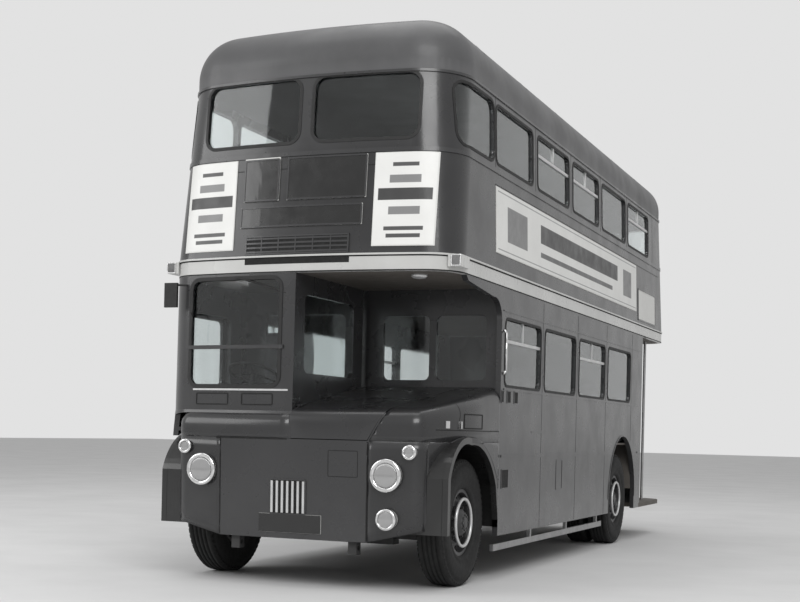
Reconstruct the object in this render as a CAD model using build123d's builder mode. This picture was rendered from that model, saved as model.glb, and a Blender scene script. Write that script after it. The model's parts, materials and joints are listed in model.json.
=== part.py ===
# Half-cab double decker bus with an open rear platform.
# Frame: millimetres, +Z up, front faces -Y, the bus's nearside (door side) is +X, ground is z = 0.
from math import atan2, cos, pi, radians, sin, sqrt
import os

from build123d import *

os.makedirs("parts", exist_ok=True)

# driving dimensions
body_length = 8370.0
body_width = 2438.0
wheelbase = 5131.0
front_overhang = 870.0
wall = 45.0

half_width = body_width / 2
front_y = -body_length / 2
rear_y = body_length / 2
front_axle_y = front_y + front_overhang
rear_axle_y = front_axle_y + wheelbase
f = front_axle_y

# levels above the ground
skirt_z = 370.0
trim_z = 1020.0
lip_z = 1128.0
nose_top_z = 1340.0
deck_z = 2400.0
band_top_z = 2535.0
waist_z = 3300.0
gutter_z = 3930.0
roof_z = 4380.0
saloon_floor_z = 640.0
platform_z = 420.0
upper_floor_z = 2440.0

# wheels
tyre_radius = 500.0
tyre_width = 240.0
rim_radius = 262.0
front_wheel_x = 995.0
rear_outer_x = 1045.0
rear_inner_x = 775.0
kingpin_x = 825.0
stub_radius = 42.0
running_fit = 0.05
axle_z = tyre_radius

# body plan at each level: z, half width, front y, rear y, front corner radius, rear corner radius
body_sections = [
    (370.0, half_width, front_y + 25, rear_y - 10, 300.0, 260.0),
    (lip_z, half_width, front_y + 5, rear_y, 300.0, 260.0),
    (nose_top_z, half_width, front_y + 62, rear_y, 300.0, 260.0),
    (deck_z, half_width, front_y + 75, rear_y, 300.0, 260.0),
    (band_top_z, half_width, front_y + 75, rear_y, 300.0, 260.0),
    (gutter_z, half_width - 40, front_y + 180, rear_y - 60, 430.0, 380.0),
]
front_bow = 6000.0
rear_bow = 12000.0

# window rows of the sides: name, start y behind the front axle, end y, bottom z, top z
lower_windows = [
    ("bay_1", 625.0, 1690.0, 1605.0, 2150.0),
    ("bay_2", 1830.0, 2930.0, 1605.0, 2150.0),
    ("bay_3", 3085.0, 4180.0, 1605.0, 2150.0),
    ("bay_4", 4330.0, 5440.0, 1605.0, 2150.0),
]
upper_windows = [
    ("bay_2", 345.0, 1400.0, 3385.0, 3850.0),
    ("bay_3", 1555.0, 2640.0, 3385.0, 3850.0),
    ("bay_4", 2795.0, 3850.0, 3385.0, 3850.0),
    ("bay_5", 4010.0, 5130.0, 3385.0, 3850.0),
    ("bay_6", 5270.0, 6400.0, 3385.0, 3850.0),
]


def span(x0, x1, y0, y1, z0, z1):
    """A box between two corners."""
    return Solid.make_box(x1 - x0, y1 - y0, z1 - z0, Plane((x0, y0, z0)))


def rod(start, end, radius):
    """A round bar between two points."""
    run = Vector(*end) - Vector(*start)
    return Solid.make_cylinder(radius, run.length, Plane(origin=start, z_dir=run))


def section_at(z, inset=0.0):
    """Plan of the body at a level, moved inward by inset."""
    rows = body_sections
    pick = max(i for i in range(len(rows) - 1) if z >= rows[i][0] - 1e-6 or i == 0)
    low, high = rows[pick], rows[pick + 1]
    t = (z - low[0]) / (high[0] - low[0])
    half, yf, yr, rf, rr = [a + (b - a) * t for a, b in zip(low[1:], high[1:])]
    return plan_wire(z, half - inset, yf + inset, yr - inset, rf - inset, rr - inset, inset)


def plan_wire(z, half, yf, yr, rf, rr, inset=0.0):
    """Bowed front and rear, rounded corners and straight sides, as tangent arcs and lines."""
    def corner(y_end, radius, bow, side):
        centre = y_end + side * bow
        cy = centre - side * sqrt((bow - radius) ** 2 - (half - radius) ** 2)
        k = bow / (bow - radius)
        tx = (half - radius) * k
        ty = centre + (cy - centre) * k
        angle = atan2(ty - cy, tx - (half - radius)) / 2
        mx = half - radius + radius * cos(angle)
        my = cy + radius * sin(angle)
        return tx, ty, mx, my, cy
    ftx, fty, fmx, fmy, fcy = corner(yf, rf, front_bow - inset, 1)
    rtx, rty, rmx, rmy, rcy = corner(yr, rr, rear_bow - inset, -1)
    arc = Edge.make_three_point_arc
    edges = [
        arc((-ftx, fty, z), (0, yf, z), (ftx, fty, z)),
        arc((ftx, fty, z), (fmx, fmy, z), (half, fcy, z)),
        Edge.make_line((half, fcy, z), (half, rcy, z)),
        arc((half, rcy, z), (rmx, rmy, z), (rtx, rty, z)),
        arc((rtx, rty, z), (0, yr, z), (-rtx, rty, z)),
        arc((-rtx, rty, z), (-rmx, rmy, z), (-half, rcy, z)),
        Edge.make_line((-half, rcy, z), (-half, fcy, z)),
        arc((-half, fcy, z), (-fmx, fmy, z), (-ftx, fty, z)),
    ]
    return Wire(edges)


def hull(z0, z1, inset=0.0):
    """The body's solid form between two levels, moved inward by inset."""
    levels = [z0] + [row[0] for row in body_sections if z0 < row[0] < z1] + [z1]
    pieces = []
    for low, high in zip(levels, levels[1:]):
        pieces.append(Solid.make_loft([section_at(low, inset), section_at(high, inset)], True))
    form = pieces[0]
    for piece in pieces[1:]:
        form = form + piece
    return form


def shell(z0, z1, outer=0.0, inner=wall):
    """A wall ring of the body between two levels."""
    return hull(z0, z1, outer) - hull(z0, z1, inner)


def side_cut(x0, x1, y0, y1, z0, z1, radius):
    """A window-shaped block through a side wall, with rounded corners."""
    plane = Plane(origin=(x0, (y0 + y1) / 2, (z0 + z1) / 2), x_dir=(0, 1, 0), z_dir=(1, 0, 0))
    return extrude(plane * RectangleRounded(y1 - y0, z1 - z0, radius), amount=x1 - x0).solid()


def front_cut(x0, x1, y0, y1, z0, z1, radius):
    """A window-shaped block through a front or rear wall, with rounded corners."""
    plane = Plane(origin=((x0 + x1) / 2, y0, (z0 + z1) / 2), x_dir=(-1, 0, 0), z_dir=(0, 1, 0))
    return extrude(plane * RectangleRounded(x1 - x0, z1 - z0, radius), amount=y1 - y0).solid()


def turned(points, x, y, z):
    """A ring turned about an X-wise axle; points are (x along the axle, radius)."""
    outline = Face(Wire.make_polygon([(x + a, y, z + b) for a, b in points], close=True))
    return Solid.revolve(outline, 360, Axis((x, y, z), (1, 0, 0)))


# arcs over the wheels, measured from each axle
front_arch_rear = 520.0
rear_arch_radius = 650.0
rear_arch_centre_z = 555.0
side_front = f + front_arch_rear
platform_start = f + 6060.0
upper_front_split = f + 318.0
upper_rear_split = f + 6650.0
big = 3000.0

rear_arch_cut = rod((-big, rear_axle_y, rear_arch_centre_z), (big, rear_axle_y, rear_arch_centre_z),
                    rear_arch_radius)
rear_arch_foot = span(-big, big, rear_axle_y - rear_arch_radius, rear_axle_y + rear_arch_radius,
                      0, rear_arch_centre_z)

lower_shell = shell(skirt_z, deck_z)
upper_shell = shell(band_top_z, gutter_z)

lower_cuts = [side_cut(-big, big, f + y0, f + y1, z0, z1, 60) for _, y0, y1, z0, z1 in lower_windows]
upper_cuts = [side_cut(-big, big, f + y0, f + y1, z0, z1, 60) for _, y0, y1, z0, z1 in upper_windows]

# lower deck sides
gusset = Wire([
    Edge.make_line((0, side_front, 2140), (0, side_front, deck_z)),
    Edge.make_line((0, side_front, deck_z), (0, f - 400, deck_z)),
    Edge.make_line((0, f - 400, deck_z), (0, f - 350, deck_z - 40)),
    Edge.make_line((0, f - 350, deck_z - 40), (0, f + 300, deck_z - 100)),
    Edge.make_three_point_arc((0, f + 300, deck_z - 100), (0, f + 460, deck_z - 150), (0, side_front, 2140)),
])
with BuildPart() as lower_side_nearside:
    add(lower_shell)
    add(span(0, big, side_front, platform_start, 0, big), mode=Mode.INTERSECT)
    add(Solid.extrude(Face(gusset).moved(Location((half_width - wall, 0, 0))), Vector(wall, 0, 0)))
    add(lower_cuts, mode=Mode.SUBTRACT)
    add(rear_arch_cut, mode=Mode.SUBTRACT)
    add(rear_arch_foot, mode=Mode.SUBTRACT)

stair_wall_x = 250.0
with BuildPart() as lower_side_offside:
    add(lower_shell)
    add(span(-big, 0, side_front, f + 7000, 0, big), mode=Mode.INTERSECT)
    add(lower_cuts, mode=Mode.SUBTRACT)
    add(rear_arch_cut, mode=Mode.SUBTRACT)
    add(rear_arch_foot, mode=Mode.SUBTRACT)

with BuildPart() as lower_rear_wall:
    add(lower_shell)
    add(span(-big, stair_wall_x, f + 7000, big * 2, platform_z, big), mode=Mode.INTERSECT)

# bulkhead between cab, engine and saloon
bulkhead_y = f + 600.0
bulkhead_thickness = 40.0
bulkhead_windows = [(-980.0, -220.0, 1560.0, 2200.0), (140.0, 560.0, 1640.0, 2180.0),
                    (620.0, 1060.0, 1640.0, 2180.0)]
bulkhead_cuts = [front_cut(x0, x1, bulkhead_y - 200, bulkhead_y + 200, z0, z1, 50)
                 for x0, x1, z0, z1 in bulkhead_windows]
with BuildPart() as front_bulkhead:
    add(span(-half_width + wall, half_width - wall, bulkhead_y, bulkhead_y + bulkhead_thickness,
             saloon_floor_z - 40, deck_z))
    add(span(-20, half_width - wall, side_front, bulkhead_y, 1060, 1560))
    add(bulkhead_cuts, mode=Mode.SUBTRACT)

# nose forms: the rounded box over the engine and below the cab
nose_round = 120.0
bonnet_rise = 0.165
bonnet_front_z = 1362.0
nose_skin = 30.0


def nose_form(top_front_z, rise, inset):
    """The nose between the lip and a sloping top, with the front and side edges rounded over."""
    column = Solid.extrude(Face(section_at(lip_z, inset)), Vector(0, 0, 900))
    y0 = front_y - 200
    y1 = side_front - inset * 0.1
    top0 = top_front_z - inset + rise * (y0 - f + 800)
    top1 = top_front_z - inset + rise * (y1 - f + 800)
    profile = Wire.make_polygon([(-big, y0, 0), (-big, y1, 0), (-big, y1, top1), (-big, y0, top0)], close=True)
    block = Solid.extrude(Face(profile), Vector(2 * big, 0, 0))
    form = (column & block).solid()
    top = [face for face in form.faces() if face.normal_at().Z > 0.5][0]
    edges = [edge for edge in top.edges() if abs(edge.center().Y - y1) > 5]
    return form.fillet(nose_round - inset, edges)


bonnet_outer = nose_form(bonnet_front_z, bonnet_rise, 0)
bonnet_skin = bonnet_outer - nose_form(bonnet_front_z, bonnet_rise, nose_skin)
cab_nose_outer = nose_form(nose_top_z, 0.0, 0)
cab_nose_skin = cab_nose_outer - nose_form(nose_top_z, 0.0, nose_skin)
nose_skirt = shell(skirt_z, lip_z, 0, nose_skin)

# the bead that parts the bonnet from the nearside wing leans outward, so it runs outward to the rear
nose_panel_half = 620.0
bead_lean = 0.58
bead_gap = 6.0


def beyond_bead(offset):
    """Everything on the nearside of the bead line, above the lip."""
    x0 = nose_panel_half + offset
    corners = [(x0, front_y - 200, lip_z), (big, front_y - 200, lip_z),
               (big, side_front + 50, lip_z), (x0, side_front + 50, lip_z)]
    return Solid.extrude(Face(Wire.make_polygon(corners, close=True)), Vector(900 * bead_lean, 0, 900))


# front wheel arches
arch_front = -770.0
arch_rear = front_arch_rear


def arch_block(x0, x1, grow, shoulder, foot):
    """The opening over a front wheel as a block, grown outward by grow, down to a foot behind the wheel."""
    g = grow
    line, arc = Edge.make_line, Edge.make_three_point_arc
    outline = Wire([
        line((arch_front - g, 0, 0), (arch_front - g, 900, 0)),
        arc((arch_front - g, 900, 0), (-600, 1045 + g, 0), (-180, 1110 + g, 0)),
        arc((-180, 1110 + g, 0), (shoulder - 205, 1000 + g * 0.8, 0), (shoulder + g, 780, 0)),
        line((shoulder + g, 780, 0), (foot, 500, 0)),
        line((foot, 500, 0), (foot, 0, 0)),
        line((foot, 0, 0), (arch_front - g, 0, 0)),
    ])
    plane = Plane(origin=(x0, f, 0), x_dir=(0, 1, 0), z_dir=(1, 0, 0))
    return Solid.extrude(Face(outline).moved(plane.location), Vector(x1 - x0, 0, 0))


flange = 55.0
arch_inner_x = 625.0
arch_shoulder = arch_rear - 65
arch_open = arch_block(-big, big, 0.0, arch_shoulder, arch_rear)
arch_grown = arch_block(-big, big, flange, arch_shoulder, arch_rear)

# the lining inside the arch reaches further back, clear of a steered tyre
lining = 12.0
lining_foot = 575.0
lining_inner = arch_block(-big, big, flange - lining, lining_foot - 85, lining_foot)
lining_outer = arch_block(-big, big, flange, lining_foot - 85, lining_foot + lining)

# hinges: barrels in turn on the fixed and on the moving side of one line
hinge_radius = 12.0
hinge_play = 1.0
barrel_length = 60.0
barrel_gap = 0.5


def hinge_barrels(start, along, places, turn, play=0.0):
    """Barrels on a hinge line at set distances; turn is 0 for the fixed side and 1 for the moving side."""
    line = Vector(*along).normalized()
    out = []
    for place in places:
        a = Vector(*start) + line * (place + turn * (barrel_length + barrel_gap) - play)
        b = Vector(*start) + line * (place + turn * (barrel_length + barrel_gap) + barrel_length + play)
        out.append(rod(tuple(a), tuple(b), hinge_radius + play))
    return out


# cab
cab_inner_x = -20.0
hinge_x = cab_inner_x + 20.0
hinge_z = bonnet_front_z + 10.0
hinge_y = f - 800.0
bonnet_line = (hinge_x, hinge_y, hinge_z), (0, 1, bonnet_rise)
bonnet_barrels = [60.0, 560.0, 1060.0]
bonnet_slant = sqrt(1 + bonnet_rise ** 2)
cab_wall_start = f - 560.0
door_y0 = f - 360.0
door_y1 = f + 340.0
door_sill_z = 1200.0
windscreen_cut = front_cut(-965, -150, front_y - 100, f - 400, 1535, 2360, 70)
cab_door_cut = side_cut(-big, -half_width / 2, door_y0 + 30, door_y1 - 30, door_sill_z + 20, 2150, 60)
cab_side_window = side_cut(cab_inner_x - 100, cab_inner_x + 100, f - 620, f + 330, 1640, 2250, 60)
cab_floor_z = 1200.0
with BuildPart() as cab_shell:
    add(shell(lip_z, deck_z))
    add(span(-big, cab_inner_x, -big * 2, side_front, 0, big), mode=Mode.INTERSECT)
    add(span(-big, cab_inner_x, front_y - 200, cab_wall_start, 0, nose_top_z - 40), mode=Mode.SUBTRACT)
    add(span(cab_inner_x - 40, cab_inner_x, f - 800, side_front, nose_top_z, deck_z))
    add(span(-half_width + wall, cab_inner_x, cab_wall_start, side_front, cab_floor_z - 30, cab_floor_z))
    add(hull(lip_z, deck_z), mode=Mode.INTERSECT)
    add(cab_nose_outer & span(-big, big, front_y - 200, cab_wall_start, 0, big), mode=Mode.SUBTRACT)
    add(windscreen_cut, mode=Mode.SUBTRACT)
    add(cab_door_cut, mode=Mode.SUBTRACT)
    add(cab_side_window, mode=Mode.SUBTRACT)
    add(nose_skirt & span(-big, -nose_panel_half, f, side_front, 0, lip_z))
    add(arch_grown, mode=Mode.SUBTRACT)
    add(hinge_barrels(*bonnet_line, bonnet_barrels, 0))
    for place in bonnet_barrels:
        y = hinge_y + place / bonnet_slant
        z = hinge_z + place / bonnet_slant * bonnet_rise
        add(span(cab_inner_x, hinge_x, y + 4, y + barrel_length - 4, z, z + hinge_radius))

door_z0 = door_sill_z - 20
door_z1 = 2170.0
door_gap = 8.0
runner_gap = 0.5
door_thickness = 28.0
door_x = -half_width - door_gap
door_window = side_cut(-big, 0, door_y0 + 80, door_y1 - 80, 1560, 2120, 50)
with BuildPart() as cab_door:
    add(span(door_x - door_thickness, door_x, door_y0, door_y1, door_z0, door_z1))
    add(door_window, mode=Mode.SUBTRACT)

# nose panels, wings and bonnet
with BuildPart() as front_panel:
    add(nose_skirt)
    add(span(-nose_panel_half, nose_panel_half, -big * 2, f, 0, lip_z), mode=Mode.INTERSECT)

with BuildPart() as wing_nearside:
    add(bonnet_skin)
    add(beyond_bead(0.0), mode=Mode.INTERSECT)
    add(nose_skirt & span(nose_panel_half, big, -big * 2, side_front, 0, lip_z))
    add(arch_grown, mode=Mode.SUBTRACT)

with BuildPart() as wing_offside:
    add(cab_nose_skin)
    add(span(-big, cab_inner_x, -big * 2, cab_wall_start, 0, big), mode=Mode.INTERSECT)
    add(nose_skirt & span(-big, -nose_panel_half, -big * 2, f - 400, 0, lip_z))
    add(arch_grown, mode=Mode.SUBTRACT)

with BuildPart() as mudguards:
    add(lining_outer)
    add(lining_inner, mode=Mode.SUBTRACT)
    add(span(-half_width + wall, half_width - wall, -big * 2, big, 0, big), mode=Mode.INTERSECT)
    add(arch_grown - arch_open - span(-half_width + wall, half_width - wall, -big * 2, big, 0, big))
    add(hull(skirt_z + 5, 1400), mode=Mode.INTERSECT)
    add(span(-arch_inner_x, arch_inner_x, -big * 2, big, 0, big), mode=Mode.SUBTRACT)
    add(span(-big, big, -big * 2, f - 700, 0, 900), mode=Mode.SUBTRACT)

# the bonnet hinges along its top edge beside the cab, on a line that climbs with the bonnet
with BuildPart() as bonnet:
    add(bonnet_skin)
    add(beyond_bead(-bead_gap), mode=Mode.SUBTRACT)
    add(span(cab_inner_x + 6, big, -big * 2, side_front - 6, lip_z + 6, big), mode=Mode.INTERSECT)
    add(hinge_barrels(*bonnet_line, bonnet_barrels, 0, hinge_play), mode=Mode.SUBTRACT)
    add(hinge_barrels(*bonnet_line, bonnet_barrels, 1))

# floors, platform and stairs
arch_box_x = 600.0
with BuildPart() as lower_floor:
    add(span(-half_width + wall, half_width - wall, bulkhead_y + bulkhead_thickness, platform_start,
             saloon_floor_z - 40, saloon_floor_z))
    for side in (-1, 1):
        x0, x1 = sorted((side * arch_box_x, side * (half_width - wall)))
        add(span(x0, x1, rear_axle_y - 640, rear_axle_y + 640, saloon_floor_z - 40, 1130))
    for side in (-1, 1):
        x0, x1 = sorted((side * (arch_box_x + 20), side * half_width))
        add(span(x0, x1, rear_axle_y - 620, rear_axle_y + 620, 0, 1110), mode=Mode.SUBTRACT)
    slab = hull(platform_z - 50, platform_z) & span(-big, big, platform_start, big * 2, 0, big)
    add(slab - lower_side_offside.part)

with BuildPart() as platform_bulkhead:
    add(span(330, half_width, platform_start, platform_start + 40, platform_z, deck_z))
    add(span(-half_width + wall, -330, platform_start - 40, platform_start, saloon_floor_z, deck_z))

stair_x0 = -half_width + wall
stair_x1 = -520.0
stair_rises = [(690.0, 7200.0), (890.0, 7000.0), (1090.0, 6800.0), (1290.0, 6600.0),
               (1490.0, 6400.0), (1690.0, 6200.0), (1890.0, 6100.0)]
with BuildPart() as staircase:
    for top, y_end in stair_rises[:5]:
        add(span(stair_x0, stair_x1, f + y_end - 200, f + y_end + 20, top - 230, top))
    add(lower_rear_wall.part, mode=Mode.SUBTRACT)

with BuildPart() as upper_floor:
    add(hull(deck_z, upper_floor_z, wall))
    add(span(stair_x0, stair_x1, f + 5900, f + 7250, 0, big), mode=Mode.SUBTRACT)

# band between the decks
with BuildPart() as band_moulding:
    add(shell(deck_z, band_top_z))

# upper deck
front_window_cuts = [front_cut(-900, -60, front_y - 100, f - 300, 3410, 3905, 90),
                     front_cut(60, 900, front_y - 100, f - 300, 3410, 3905, 90)]
quarter_cut = side_cut(-big, big, f - 470, f + 290, 3385, 3860, 90)
with BuildPart() as upper_front:
    add(upper_shell)
    add(span(-big, big, -big * 2, upper_front_split, 0, big * 2), mode=Mode.INTERSECT)
    add(front_window_cuts, mode=Mode.SUBTRACT)
    add(quarter_cut, mode=Mode.SUBTRACT)

with BuildPart() as upper_side_nearside:
    add(upper_shell)
    add(span(0, big, upper_front_split, upper_rear_split, 0, big * 2), mode=Mode.INTERSECT)
    add(upper_cuts, mode=Mode.SUBTRACT)

with BuildPart() as upper_side_offside:
    add(upper_shell)
    add(span(-big, 0, upper_front_split, upper_rear_split, 0, big * 2), mode=Mode.INTERSECT)
    add(upper_cuts, mode=Mode.SUBTRACT)

exit_half = 620.0
exit_z0 = 3200.0
exit_z1 = 3840.0
exit_gap = 6.0
exit_cut = front_cut(-exit_half, exit_half, rear_y - 400, rear_y + 100, exit_z0, exit_z1, 60)
exit_block = front_cut(-exit_half + exit_gap, exit_half - exit_gap, rear_y - 400, rear_y + 100,
                       exit_z0 + exit_gap, exit_z1 - exit_gap, 54)
exit_hinge_y = rear_y - 56.0
exit_hinge_z = exit_z1 - exit_gap
exit_line = (0, exit_hinge_y, exit_hinge_z), (1, 0, 0)
exit_barrels = [-460.0, 340.0]
exit_light = front_cut(-exit_half + 60, exit_half - 60, rear_y - 400, rear_y + 100,
                       exit_z0 + 60, exit_z1 - 60, 40)
rear_corner_cuts = [front_cut(s * 880 - 170, s * 880 + 170, rear_y - 400, rear_y + 100, 3385, 3850, 60)
                    for s in (-1, 1)]
with BuildPart() as upper_rear:
    add(upper_shell)
    add(span(-big, big, upper_rear_split, big * 2, 0, big * 2), mode=Mode.INTERSECT)
    add(exit_cut, mode=Mode.SUBTRACT)
    add(rear_corner_cuts, mode=Mode.SUBTRACT)
    add(hinge_barrels(*exit_line, exit_barrels, 1, hinge_play), mode=Mode.SUBTRACT)
    add(hinge_barrels(*exit_line, exit_barrels, 0))
    for place in exit_barrels:
        add(span(place, place + barrel_length, exit_hinge_y - 25, exit_hinge_y - 4, exit_hinge_z, exit_z1 + 5))

with BuildPart() as emergency_window:
    add(upper_shell)
    add(exit_block, mode=Mode.INTERSECT)
    add(exit_light, mode=Mode.SUBTRACT)
    add(hinge_barrels(*exit_line, exit_barrels, 0, hinge_play), mode=Mode.SUBTRACT)
    add(hinge_barrels(*exit_line, exit_barrels, 1))

# roof
roof_corner = 360.0
def dome(inset):
    """The roof's outer or inner form: the gutter's plan raised, with its top edge rounded over."""
    wire = section_at(gutter_z, inset)
    height = roof_z - gutter_z - inset
    block = Solid.extrude(Face(wire), Vector(0, 0, height))
    top_edges = block.faces().sort_by(Axis.Z)[-1].edges()
    return block.fillet(roof_corner - inset, top_edges)


with BuildPart() as roof:
    add(dome(0))
    add(dome(40), mode=Mode.SUBTRACT)

# wheels
tyre_half = tyre_width / 2
tyre_profile = [(-0.70, rim_radius), (-0.94, 330.0), (-1.0, 400.0), (-0.92, 465.0), (-0.72, tyre_radius),
                (0.72, tyre_radius), (0.92, 465.0), (1.0, 400.0), (0.94, 330.0), (0.70, rim_radius)]
hub_radius = 105.0
hub_ring_radius = 185.0
front_hub_in = 60.0
hand_holes = 8


def tyre_at(x, y):
    """A plain tyre on an X-wise axle."""
    return turned([(a * tyre_half, r) for a, r in tyre_profile], x, y, axle_z)


def rim_at(x, y, side, hub_from, hub_to):
    """A disc wheel with its hub, hand holes and a nut guard ring; side is +1 when it faces +X."""
    def part(points):
        return turned([(side * a, r) for a, r in points], x, y, axle_z)
    bore = stub_radius + running_fit
    barrel = part([(-84, 236), (-84, rim_radius), (84, rim_radius), (84, 236), (60, 230), (-60, 230)])
    disc = part([(18, hub_radius - 20), (40, 170), (20, 232), (34, 232), (54, 170), (34, hub_radius - 20)])
    hub = part([(hub_from, bore), (hub_from, hub_radius), (hub_to - 30, hub_radius), (hub_to, hub_radius - 30),
                (hub_to, bore)])
    ring = Solid.make_torus(hub_ring_radius, 11, Plane(origin=(x + side * 108, y, axle_z), z_dir=(1, 0, 0)))
    wheel = barrel + disc + hub + ring
    for i in range(4):
        a = pi / 4 + i * pi / 2
        cy, cz = y + hub_ring_radius * cos(a), axle_z + hub_ring_radius * sin(a)
        wheel = wheel + rod((x + side * 35, cy, cz), (x + side * 108, cy, cz), 8)
    for i in range(hand_holes):
        a = 2 * pi * i / hand_holes
        cy, cz = y + 200 * cos(a), axle_z + 200 * sin(a)
        wheel = wheel - rod((x + side * 5, cy, cz), (x + side * 70, cy, cz), 22)
    return wheel


with BuildPart() as front_tyre_nearside:
    add(tyre_at(front_wheel_x, front_axle_y))

with BuildPart() as front_tyre_offside:
    add(tyre_at(-front_wheel_x, front_axle_y))

with BuildPart() as front_rim_nearside:
    add(rim_at(front_wheel_x, front_axle_y, 1, -70, 118))

with BuildPart() as front_rim_offside:
    add(rim_at(-front_wheel_x, front_axle_y, -1, -70, 118))

twin_gap = rear_outer_x - rear_inner_x


def twin_rim(side):
    """Two rims on one hub."""
    outer = rim_at(side * rear_outer_x, rear_axle_y, side, -twin_gap - 60, 90)
    barrel = turned([(side * a, r) for a, r in [(-84, 230), (-84, rim_radius), (84, rim_radius), (84, 230)]],
                    side * rear_inner_x, rear_axle_y, axle_z)
    web = turned([(side * a, r) for a, r in [(-10, hub_radius - 20), (-10, 240), (10, 240), (10, hub_radius - 20)]],
                 side * rear_inner_x, rear_axle_y, axle_z)
    return outer + barrel + web


with BuildPart() as rear_tyres_nearside:
    add(tyre_at(rear_outer_x, rear_axle_y))
    add(tyre_at(rear_inner_x, rear_axle_y))

with BuildPart() as rear_tyres_offside:
    add(tyre_at(-rear_outer_x, rear_axle_y))
    add(tyre_at(-rear_inner_x, rear_axle_y))

with BuildPart() as rear_rims_nearside:
    add(twin_rim(1))

with BuildPart() as rear_rims_offside:
    add(twin_rim(-1))

# knuckles and front suspension
pin_radius = 18.0
pin_z0 = 340.0
pin_z1 = 660.0
knuckle_z0 = 402.0
knuckle_z1 = 598.0


def knuckle_at(side):
    """Kingpin, knuckle body and stub axle."""
    x = side * kingpin_x
    body = rod((x, f, knuckle_z0), (x, f, knuckle_z1), 34)
    pin = rod((x, f, pin_z0), (x, f, pin_z1), pin_radius)
    stub = rod((x, f, axle_z), (side * (front_wheel_x + 110), f, axle_z), stub_radius)
    return body + pin + stub


with BuildPart() as knuckle_nearside:
    add(knuckle_at(1))

with BuildPart() as knuckle_offside:
    add(knuckle_at(-1))

with BuildPart() as front_axle:
    add(span(-540, 540, f - 60, f + 60, 300, 390))
    for side in (-1, 1):
        x = side * kingpin_x
        a, b = sorted((side * 460.0, side * 540.0))
        add(span(a, b, f - 60, f + 60, 300, 700))
        a, b = sorted((side * 530.0, x))
        add(span(a, b, f - 35, f + 35, 345, 390))
        add(span(a, b, f - 35, f + 35, 610, 655))
        add(rod((x, f, 345), (x, f, 390), 38))
        add(rod((x, f, 610), (x, f, 655), 38))
        add(rod((x, f, 0), (x, f, 1000), pin_radius + running_fit), mode=Mode.SUBTRACT)

# rear axle with its propshaft, and the engine
rear_stub_end = rear_outer_x + 86
drive_x = -160.0
with BuildPart() as engine_block:
    add(span(-300, 430, f - 620, f + 470, 400, 1040))
    add(span(20, 430, f - 600, f + 440, 1040, 1240))
    add(span(drive_x - 170, drive_x + 170, f + 470, f + 1300, 400, 590))

with BuildPart() as rear_axle:
    add(rod((-rear_stub_end, rear_axle_y, axle_z), (rear_stub_end, rear_axle_y, axle_z), stub_radius))
    add(rod((-600, rear_axle_y, axle_z), (600, rear_axle_y, axle_z), 58))
    add(rod((drive_x - 100, rear_axle_y, axle_z), (drive_x + 100, rear_axle_y, axle_z), 96))
    add(rod((drive_x, f + 1300, 480), (drive_x, rear_axle_y - 60, axle_z), 38))
    for side in (-1, 1):
        add(rod((side * 560, rear_axle_y - 90, axle_z + 30), (side * 560, rear_axle_y - 90, 600), 45))
        a, b = sorted((side * 520.0, side * 600.0))
        add(span(a, b, rear_axle_y - 130, rear_axle_y, axle_z - 30, axle_z + 30))
    add(engine_block.part, mode=Mode.SUBTRACT)

# underframe
rail_x0 = 360.0
rail_x1 = 430.0
rail_z0 = 470.0
rail_z1 = saloon_floor_z - 40
eye_radius = 20.0
front_eye_y = f - 740.0
front_eye_z = 320.0
rear_eye_y = f + 7360.0
rear_eye_z = 325.0
cross_members = [1700.0, 2950.0, 4200.0, 5950.0]
with BuildPart() as underframe:
    for side in (-1, 1):
        a, b = sorted((side * 460.0, side * 530.0))
        add(span(a, b, f - 780, platform_start, rail_z0, rail_z1))
        add(span(a, b, f - 780, f - 700, front_eye_z - 50, rail_z1))
        add(span(a, b, f + 5850, f + 5980, 285, rail_z1))
        add(span(a, b, f + 5850, f + 7400, 285, platform_z - 50))
        add(rod((a, front_eye_y, front_eye_z), (b, front_eye_y, front_eye_z), eye_radius), mode=Mode.SUBTRACT)
        add(rod((a, rear_eye_y, rear_eye_z), (b, rear_eye_y, rear_eye_z), eye_radius), mode=Mode.SUBTRACT)
    add(span(-460, 460, f - 770, f - 710, rail_z0, rail_z1))
    for y in cross_members:
        add(span(-1170, 1170, f + y - 30, f + y + 30, rail_z1 - 60, rail_z1))
    add(front_axle.part, mode=Mode.SUBTRACT)
    add(rear_axle.part, mode=Mode.SUBTRACT)
    add(engine_block.part, mode=Mode.SUBTRACT)

# seats
seat_rows_lower = [900.0, 1650.0, 2400.0, 3150.0, 3900.0]
seat_rows_upper = [250.0, 950.0, 1650.0, 2350.0, 3050.0, 3750.0, 4450.0, 5150.0]


def bench(x0, x1, y, floor):
    """A seat for two that faces the front: cushion, back and pedestal."""
    mid = (x0 + x1) / 2
    seat = span(x0, x1, y, y + 400, floor + 340, floor + 440)
    back = span(x0, x1, y + 360, y + 440, floor + 340, floor + 900)
    leg = span(mid - 60, mid + 60, y + 80, y + 320, floor, floor + 340)
    return seat + back + leg


with BuildPart() as saloon_seats:
    for y in seat_rows_lower:
        add(bench(-1150, -320, f + y, saloon_floor_z))
        add(bench(320, 1150, f + y, saloon_floor_z))
    for y in seat_rows_upper:
        add(bench(-1120, -320, f + y, upper_floor_z))
        add(bench(320, 1120, f + y, upper_floor_z))
    for side in (-1, 1):
        a, b = sorted((side * 660.0, side * 1150.0))
        add(span(a, b, f + 4520, f + 5700, 1130, 1200))

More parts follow.
